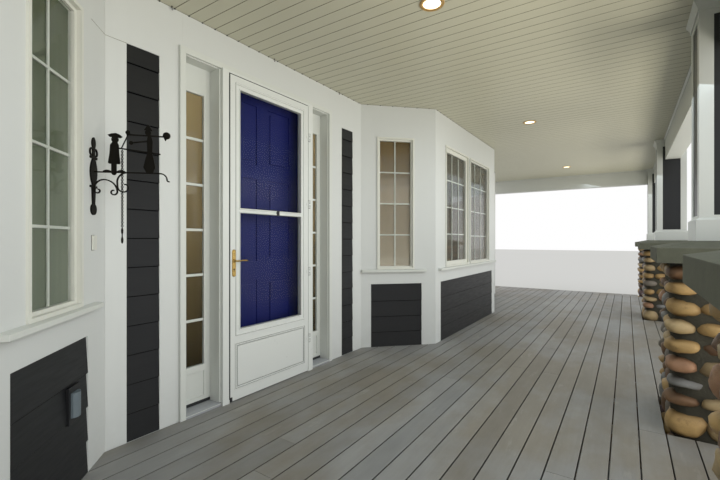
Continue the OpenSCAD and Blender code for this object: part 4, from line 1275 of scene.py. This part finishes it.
def makeLever():
    middle, centre = (plateLow.x + plateHigh.x) / 2, (plateLow.z + plateHigh.z) / 2
    tall, wide = (plateHigh.z - plateLow.z) / 2, stormLook["plateW"] / 2
    sides = 64
    outline = []
    for k in range(sides):
        a = 2 * math.pi * (k + 0.5) / sides
        outline.append((wide * math.cos(a), math.copysign(tall - wide, math.sin(a)) + wide * math.sin(a)))
    plate, holes, lever = bmesh.new(), bmesh.new(), bmesh.new()
    rings = [[plate.verts.new((middle + a * share, stormFace - y, centre + b - math.copysign(wide * (1 - share), b)))
              for a, b in outline]
             for share, y in ((1, 0), (1, 0.0022), (0.86, 0.0034), (0.72, 0.0026), (0.6, 0.0042))]
    for near, far in zip(rings, rings[1:]):
        for i in range(sides):
            j = (i + 1) % sides
            plate.faces.new((near[i], near[j], far[j], far[i]))
    plate.faces.new(rings[0])
    plate.faces.new(rings[-1])
    newPiece("leverPlate", plate, brassFinish, "storm_door", replaces=("storm_plate",))
    leverLow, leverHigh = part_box("storm_lever")
    leverZ = (leverLow.z + leverHigh.z) / 2
    # dark discs painted as the shade inside the plate's holes
    for rise, r in ((-0.066, 0.0065), (-0.078, 0.0035), (0.055, 0.003), (-0.108, 0.003)):
        addTube(holes, [Vector((middle, stormFace - y, leverZ + rise)) for y in (0.003, 0.0052)], r, 12)
    newPiece("plateHoles", holes, rubberAndShade, "storm_door")
    start = Vector((middle, plateLow.y - 0.0003, leverZ))
    reach = leverHigh.x - middle
    addTube(lever, [start - Vector((0, y, 0)) for y in (0, 0.004, 0.006, 0.010)], [0.0125, 0.0125, 0.0105, 0.0085], 20)
    run = [(0, -0.008, 0), (0, -0.026, 0), (0.002, -0.036, 0), (0.008, -0.042, 0), (0.018, -0.044, 0.0005)]
    run += [(0.018 + (reach - 0.024) * t, -0.044 + 0.004 * t, 0.004 * math.sin(3.0 * t) - 0.002 * t * t)
            for t in (0.2, 0.4, 0.6, 0.8, 1.0)]
    addTube(lever, [start + Vector(p) for p in run],
            [0.0070, 0.0066, 0.0066, 0.0066, 0.0062, 0.0052, 0.0050, 0.0056, 0.0062, 0.0040], 14)
    newPiece("leverArm", lever, brassFinish, "storm_lever", replaces=("storm_lever",), smooth=True)


makeStormBeads()
makeStormEdges()
makeLever()
print("storm door fitted")


# Small work on walls and ceiling

trimLook = {
    "lens": 0.060,
    "reflector": 0.076,
    "hooks": (-0.93, 0.0, 0.93),  # from the middle between the siding strips
    "mould": 0.020,
    "line": 0.0022,
    "dot": (0.0045, 0.007, 0.006),  # the dark ends of the ceiling grooves, painted shade: half width, reach and height
    "seamReach": 0.17,
    "chainWide": 0.0050,
    "chainWire": 0.0024,
    "chainStep": 0.0098,
    "handle": 0.092,
}


def makeDownlights():
    inner, lens = trimLook["reflector"], trimLook["lens"]
    rims, rings, lenses = bmesh.new(), bmesh.new(), bmesh.new()
    for low, high in spansOf("downlights"):
        centre = Vector(((low.x + high.x) / 2, (low.y + high.y) / 2, high.z))
        outer = (high.x - low.x) / 2
        addTurned(rims, centre, [(outer, 0), (outer, -0.003), (outer - 0.003, -0.0065), (inner + 0.002, -0.008),
                                 (inner, -0.006), (inner, 0)])
        addTurned(rings, centre, [(inner, -0.0005), (inner, -0.0062), (lens + 0.008, -0.0035), (lens, -0.0045),
                                  (lens, -0.0005)])
        addTurned(lenses, centre, [(0, -0.0065), (lens * 0.5, -0.006), (lens * 0.85, -0.0045),
                                   (lens - 0.0003, -0.0028), (lens - 0.0003, -0.0004), (0, -0.0004)])
    for name, bm, material in (("downlightRims", rims, goldTrim), ("downlightReflectors", rings, goldTrim),
                               ("downlightLenses", lenses, lampDiffuser)):
        newPiece(name, bm, material, replaces=("downlights",), smooth=True)


def wallRun():
    # the house wall in plan at the ceiling, from the left corner to the right corner
    wallLeft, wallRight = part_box("end_walls")
    run = [(wallLeft.x, wallRight.y), (wallLeft.x, wallFace)]
    for low, high in spansOf("bay_front_walls"):
        out = wallFace - low.y
        run += [(low.x - out, wallFace), (low.x, low.y), (high.x, low.y), (high.x + out, wallFace)]
    return [Vector((*p, 0)) for p in run + [(wallRight.x, wallFace), (wallRight.x, wallRight.y)]]


def addWallLine(bm, run, z, tall, out):
    # a thin strip that stands out from the wall along its plan
    for a, b in zip(run, run[1:]):
        along = (b - a).normalized()
        inward = Vector((-along.y, along.x, 0))
        place = Matrix.Translation(a) @ Matrix((along, inward, upright)).transposed().to_4x4()
        addBox(bm, (-0.0004, -out, z - tall), ((b - a).length + 0.0004, 0.0005, z), place)


def addBeamTrim(pale, dark, low, high):
    # moulding and shadow lines where a beam meets the ceiling
    m, line = trimLook["mould"], trimLook["line"]
    if high.x - low.x > high.y - low.y:
        face, sign, lip, ends, toPoint = high.y, 1, line * 0.8, (low.x, high.x), alongX
    elif low.x > 0:
        face, sign, lip, ends, toPoint = low.x, -1, line, (low.y, high.y), alongY
    else:
        face, sign, lip, ends, toPoint = high.x, 1, line, (low.y, high.y), alongY
    outline = ((0, -m), (m * 0.35, -m * 0.9), (m * 0.8, -m * 0.35), (m, 0), (0, 0))
    addPrism(pale, [(face + sign * a, ceilingLow + b) for a, b in outline], toPoint, *ends)
    for near, far, foot, top in ((0, lip, m + line, m), (m, m + line, line * 0.7, 0)):
        addBox(dark, toPoint(face + sign * near, ceilingLow - foot, ends[0]),
               toPoint(face + sign * far, ceilingLow - top, ends[1]))


def makeTrims():
    look = trimLook
    dark, pale, seam, dots = bmesh.new(), bmesh.new(), bmesh.new(), bmesh.new()
    run = wallRun()
    addWallLine(dark, run, ceilingLow, look["line"], look["line"])
    strips = spansOf("siding_strips")
    stripLeft, stripTop = strips[0][0].x, max(high.z for low, high in strips)
    left = max(p.x for p in run if abs(p.y - wallFace) < 0.001 and p.x < stripLeft)
    back = look["seamReach"] * diagonal
    addWallLine(seam, [Vector((left - back, wallFace - back, 0)), Vector((left, wallFace, 0)),
                       Vector((stripLeft, wallFace, 0))], stripTop, 0.002, 0.001)
    newPiece("wallSeams", seam, grooveShade)
    for low, high in spansOf("front_beams") + spansOf("side_beams"):
        addBeamTrim(pale, dark, low, high)
    newPiece("beamMouldings", pale, trimPaint)
    newPiece("shadowLines", dark, grooveShade)
    # dark dots at the ends of the ceiling grooves along the wall: painted shade in the groove ends
    wide, reach, tall = look["dot"]
    pitch, phase = ceilingLook["pitch"], ceilingLook["phase"]
    for k in range(math.ceil((run[1].x - phase) / pitch), math.floor((run[-2].x - phase) / pitch) + 1):
        x = phase + k * pitch
        for a, b in zip(run[1:], run[2:-1]):
            if a.x <= x < b.x:
                y = a.y + (b.y - a.y) * (x - a.x) / (b.x - a.x)
                addBox(dots, (x - wide, y - reach, ceilingLow - tall), (x + wide, y + 0.001, ceilingLow))
    newPiece("grooveEnds", dots, blackAndShade)
    hooks = bmesh.new()
    middle = (stripLeft + strips[-1][1].x) / 2
    for shift in look["hooks"]:
        spot = Vector((middle + shift + 0.01, wallFace - 0.012, ceilingLow))
        ring = [spot + Vector((0.008 * math.sin(k / 2), 0, -0.017 - 0.008 * math.cos(k / 2))) for k in range(10)]
        addTube(hooks, [spot, spot - upright * 0.009] + ring, 0.0016, 6)
        addTurned(hooks, spot, [(0, -0.003), (0.006, -0.002), (0.006, 0), (0, 0)], 12)
    newPiece("cupHooks", hooks, blackAndShade, smooth=True)


def makeEdging():
    # painted shade: the dark line round the doorbell's button and the dark gaps under the sidelights
    bell, feet = bmesh.new(), bmesh.new()
    for points in solidsOf("doorbell"):
        place, wide, deep, tall = paneFrame(points)
        addBox(bell, (-wide - 0.0015, deep - 0.002, -tall - 0.0015), (wide + 0.0015, deep - 0.0002, tall + 0.0015), place)
    for low, high in spansOf("sidelight_frames"):
        addBox(feet, (low.x + 0.001, low.y - 0.003, low.z), (high.x - 0.001, low.y + 0.001, low.z + 0.022))
    newPiece("bellButtonEdge", bell, rubberAndShade)
    newPiece("sidelightFeet", feet, rubberAndShade)


def makeChain():
    low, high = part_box("bell_pull")
    centre = Vector(((low.x + high.x) / 2, (low.y + high.y) / 2, 0))
    bm = bmesh.new()
    wide, step, handle = trimLook["chainWide"], trimLook["chainStep"], trimLook["handle"]
    z, turn = low.z + handle, 0
    while z < high.z - step * 1.4:
        side = Vector((diagonal, diagonal if turn % 2 else -diagonal, 0))
        ring = [centre + side * wide * math.cos(a) + upright * (z + step * (0.66 + 0.58 * math.sin(a)))
                for a in (2 * math.pi * k / 10 for k in range(10))]
        addTube(bm, ring, trimLook["chainWire"], 5, closed=True)
        z += step
        turn += 1
    addTube(bm, [centre + upright * (z - 0.002), centre + upright * (high.z - 0.0002)], 0.0014, 8)
    profile = [(0, 0), (0.0022, 0.0004), (0.0048, 0.006), (0.0062, 0.016), (0.0062, 0.026), (0.0034, 0.038),
               (0.0030, 0.052), (0.0056, 0.062), (0.0062, 0.074), (0.0044, 0.084), (0.0016, 0.0915), (0, handle)]
    addTurned(bm, centre + upright * low.z, profile, 20)
    newPiece("bellChain", bm, ironFinish, replaces=("bell_pull",), smooth=True)


def makeSill():
    low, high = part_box("threshold")
    deckLow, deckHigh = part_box("deck_floor")
    casingLow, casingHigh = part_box("entry_casing")
    front = casingLow.y + 0.001
    left, right = casingLow.x + 0.042, casingHigh.x - 0.042
    joint = wallFace + 0.002
    sill, edge, filler = bmesh.new(), bmesh.new(), bmesh.new()
    addPrism(sill, [(front, low.z), (front, high.z - 0.007), (joint, high.z), (joint, low.z)], alongX, left, right)
    joint += 0.001
    addPrism(sill, [(joint, low.z), (joint, high.z), (high.y, high.z), (high.y, low.z)], alongX, low.x, high.x)
    addBox(edge, (left, front - 0.002, high.z - 0.011), (right, front + 0.001, high.z - 0.0066))
    made = addBox(filler, (left - 0.001, low.y + 0.002, deckLow.z), (right + 0.001, front + 0.0005, deckHigh.z),
                  chamfer=0.0015)
    paintFaces(filler, {f for v in made for f in v.link_faces}, (1, 1, 1))
    newPiece("entrySill", sill, sillMetal, replaces=("threshold",))
    newPiece("sillEdge", edge, trimPaint)
    newPiece("deckFiller", filler, deckPaint)


makeDownlights()
makeSill()
makeTrims()
makeEdging()
makeChain()
print("small work made")


# Stage and light

stageLook = {"floor": (0.62, 0.62, 0.60), "size": 60}
lampLook = {
    "places": ((-6, 0.8), (0, 1.2), (6, 0.8)),  # x and share of the power
    "cool": (0.80, 0.905, 1.0),
    "warm": (1.0, 0.95, 0.82),
    "warmWall": (1.0, 0.955, 0.84),
}


def makeStage():
    bm = bmesh.new()
    s = stageLook["size"]
    bm.faces.new([bm.verts.new(p) for p in ((-s, -s, 0), (s, -s, 0), (s, s, 0), (-s, s, 0))])
    mesh = bpy.data.meshes.new("floorPlane")
    bm.to_mesh(mesh)
    bm.free()
    mesh.materials.append(tonedFinish("paleFloor", {"Roughness": 0.85}, stageLook["floor"], 3.0, 0.03))
    addObject("floorPlane", mesh)


def makeWorld():
    world = bpy.data.worlds.new("studio")
    bpy.context.scene.world = world
    world.use_nodes = True
    feed(world.node_tree, world.node_tree.nodes["Background"], {"Color": (1, 1, 1), "Strength": 1.0})


def addArea(name, place, aim, size, power, colour, spread=180):
    data = bpy.data.lights.new(name, "AREA")
    data.shape = "RECTANGLE"
    data.size, data.size_y = size
    data.energy = power
    data.color = colour
    data.spread = math.radians(spread)
    lamp = addObject(name, data)
    lamp.location = place
    lamp.visible_camera = False
    lamp.visible_glossy = False
    lamp.rotation_euler = (Vector(aim) - Vector(place)).to_track_quat("-Z", "Y").to_euler()


makeStage()
makeWorld()
for number, (x, share) in enumerate(lampLook["places"]):
    cool, warm, warmWall = lampLook["cool"], lampLook["warm"], lampLook["warmWall"]
    addArea("frontSoft%d" % number, (x, -7, 2.4), (x, 1, 1.5), (6, 4), 47 * share, cool)
    addArea("underCeiling%d" % number, (x, -0.9, 2.6), (x, -0.2, 0), (5, 1.4), 28 * share, cool)
    addArea("overDeck%d" % number, (x, -3.4, 0.4), (x, -0.2, 3.0), (5, 1.5), 62 * share, warm, 120)
    addArea("upperWall%d" % number, (x, -1.1, 2.25), (x, 1.4, 2.6), (5, 0.3), 9.5 * share, warmWall, 130)
bpy.context.scene.view_settings.view_transform = "Standard"
print("stage and light set")
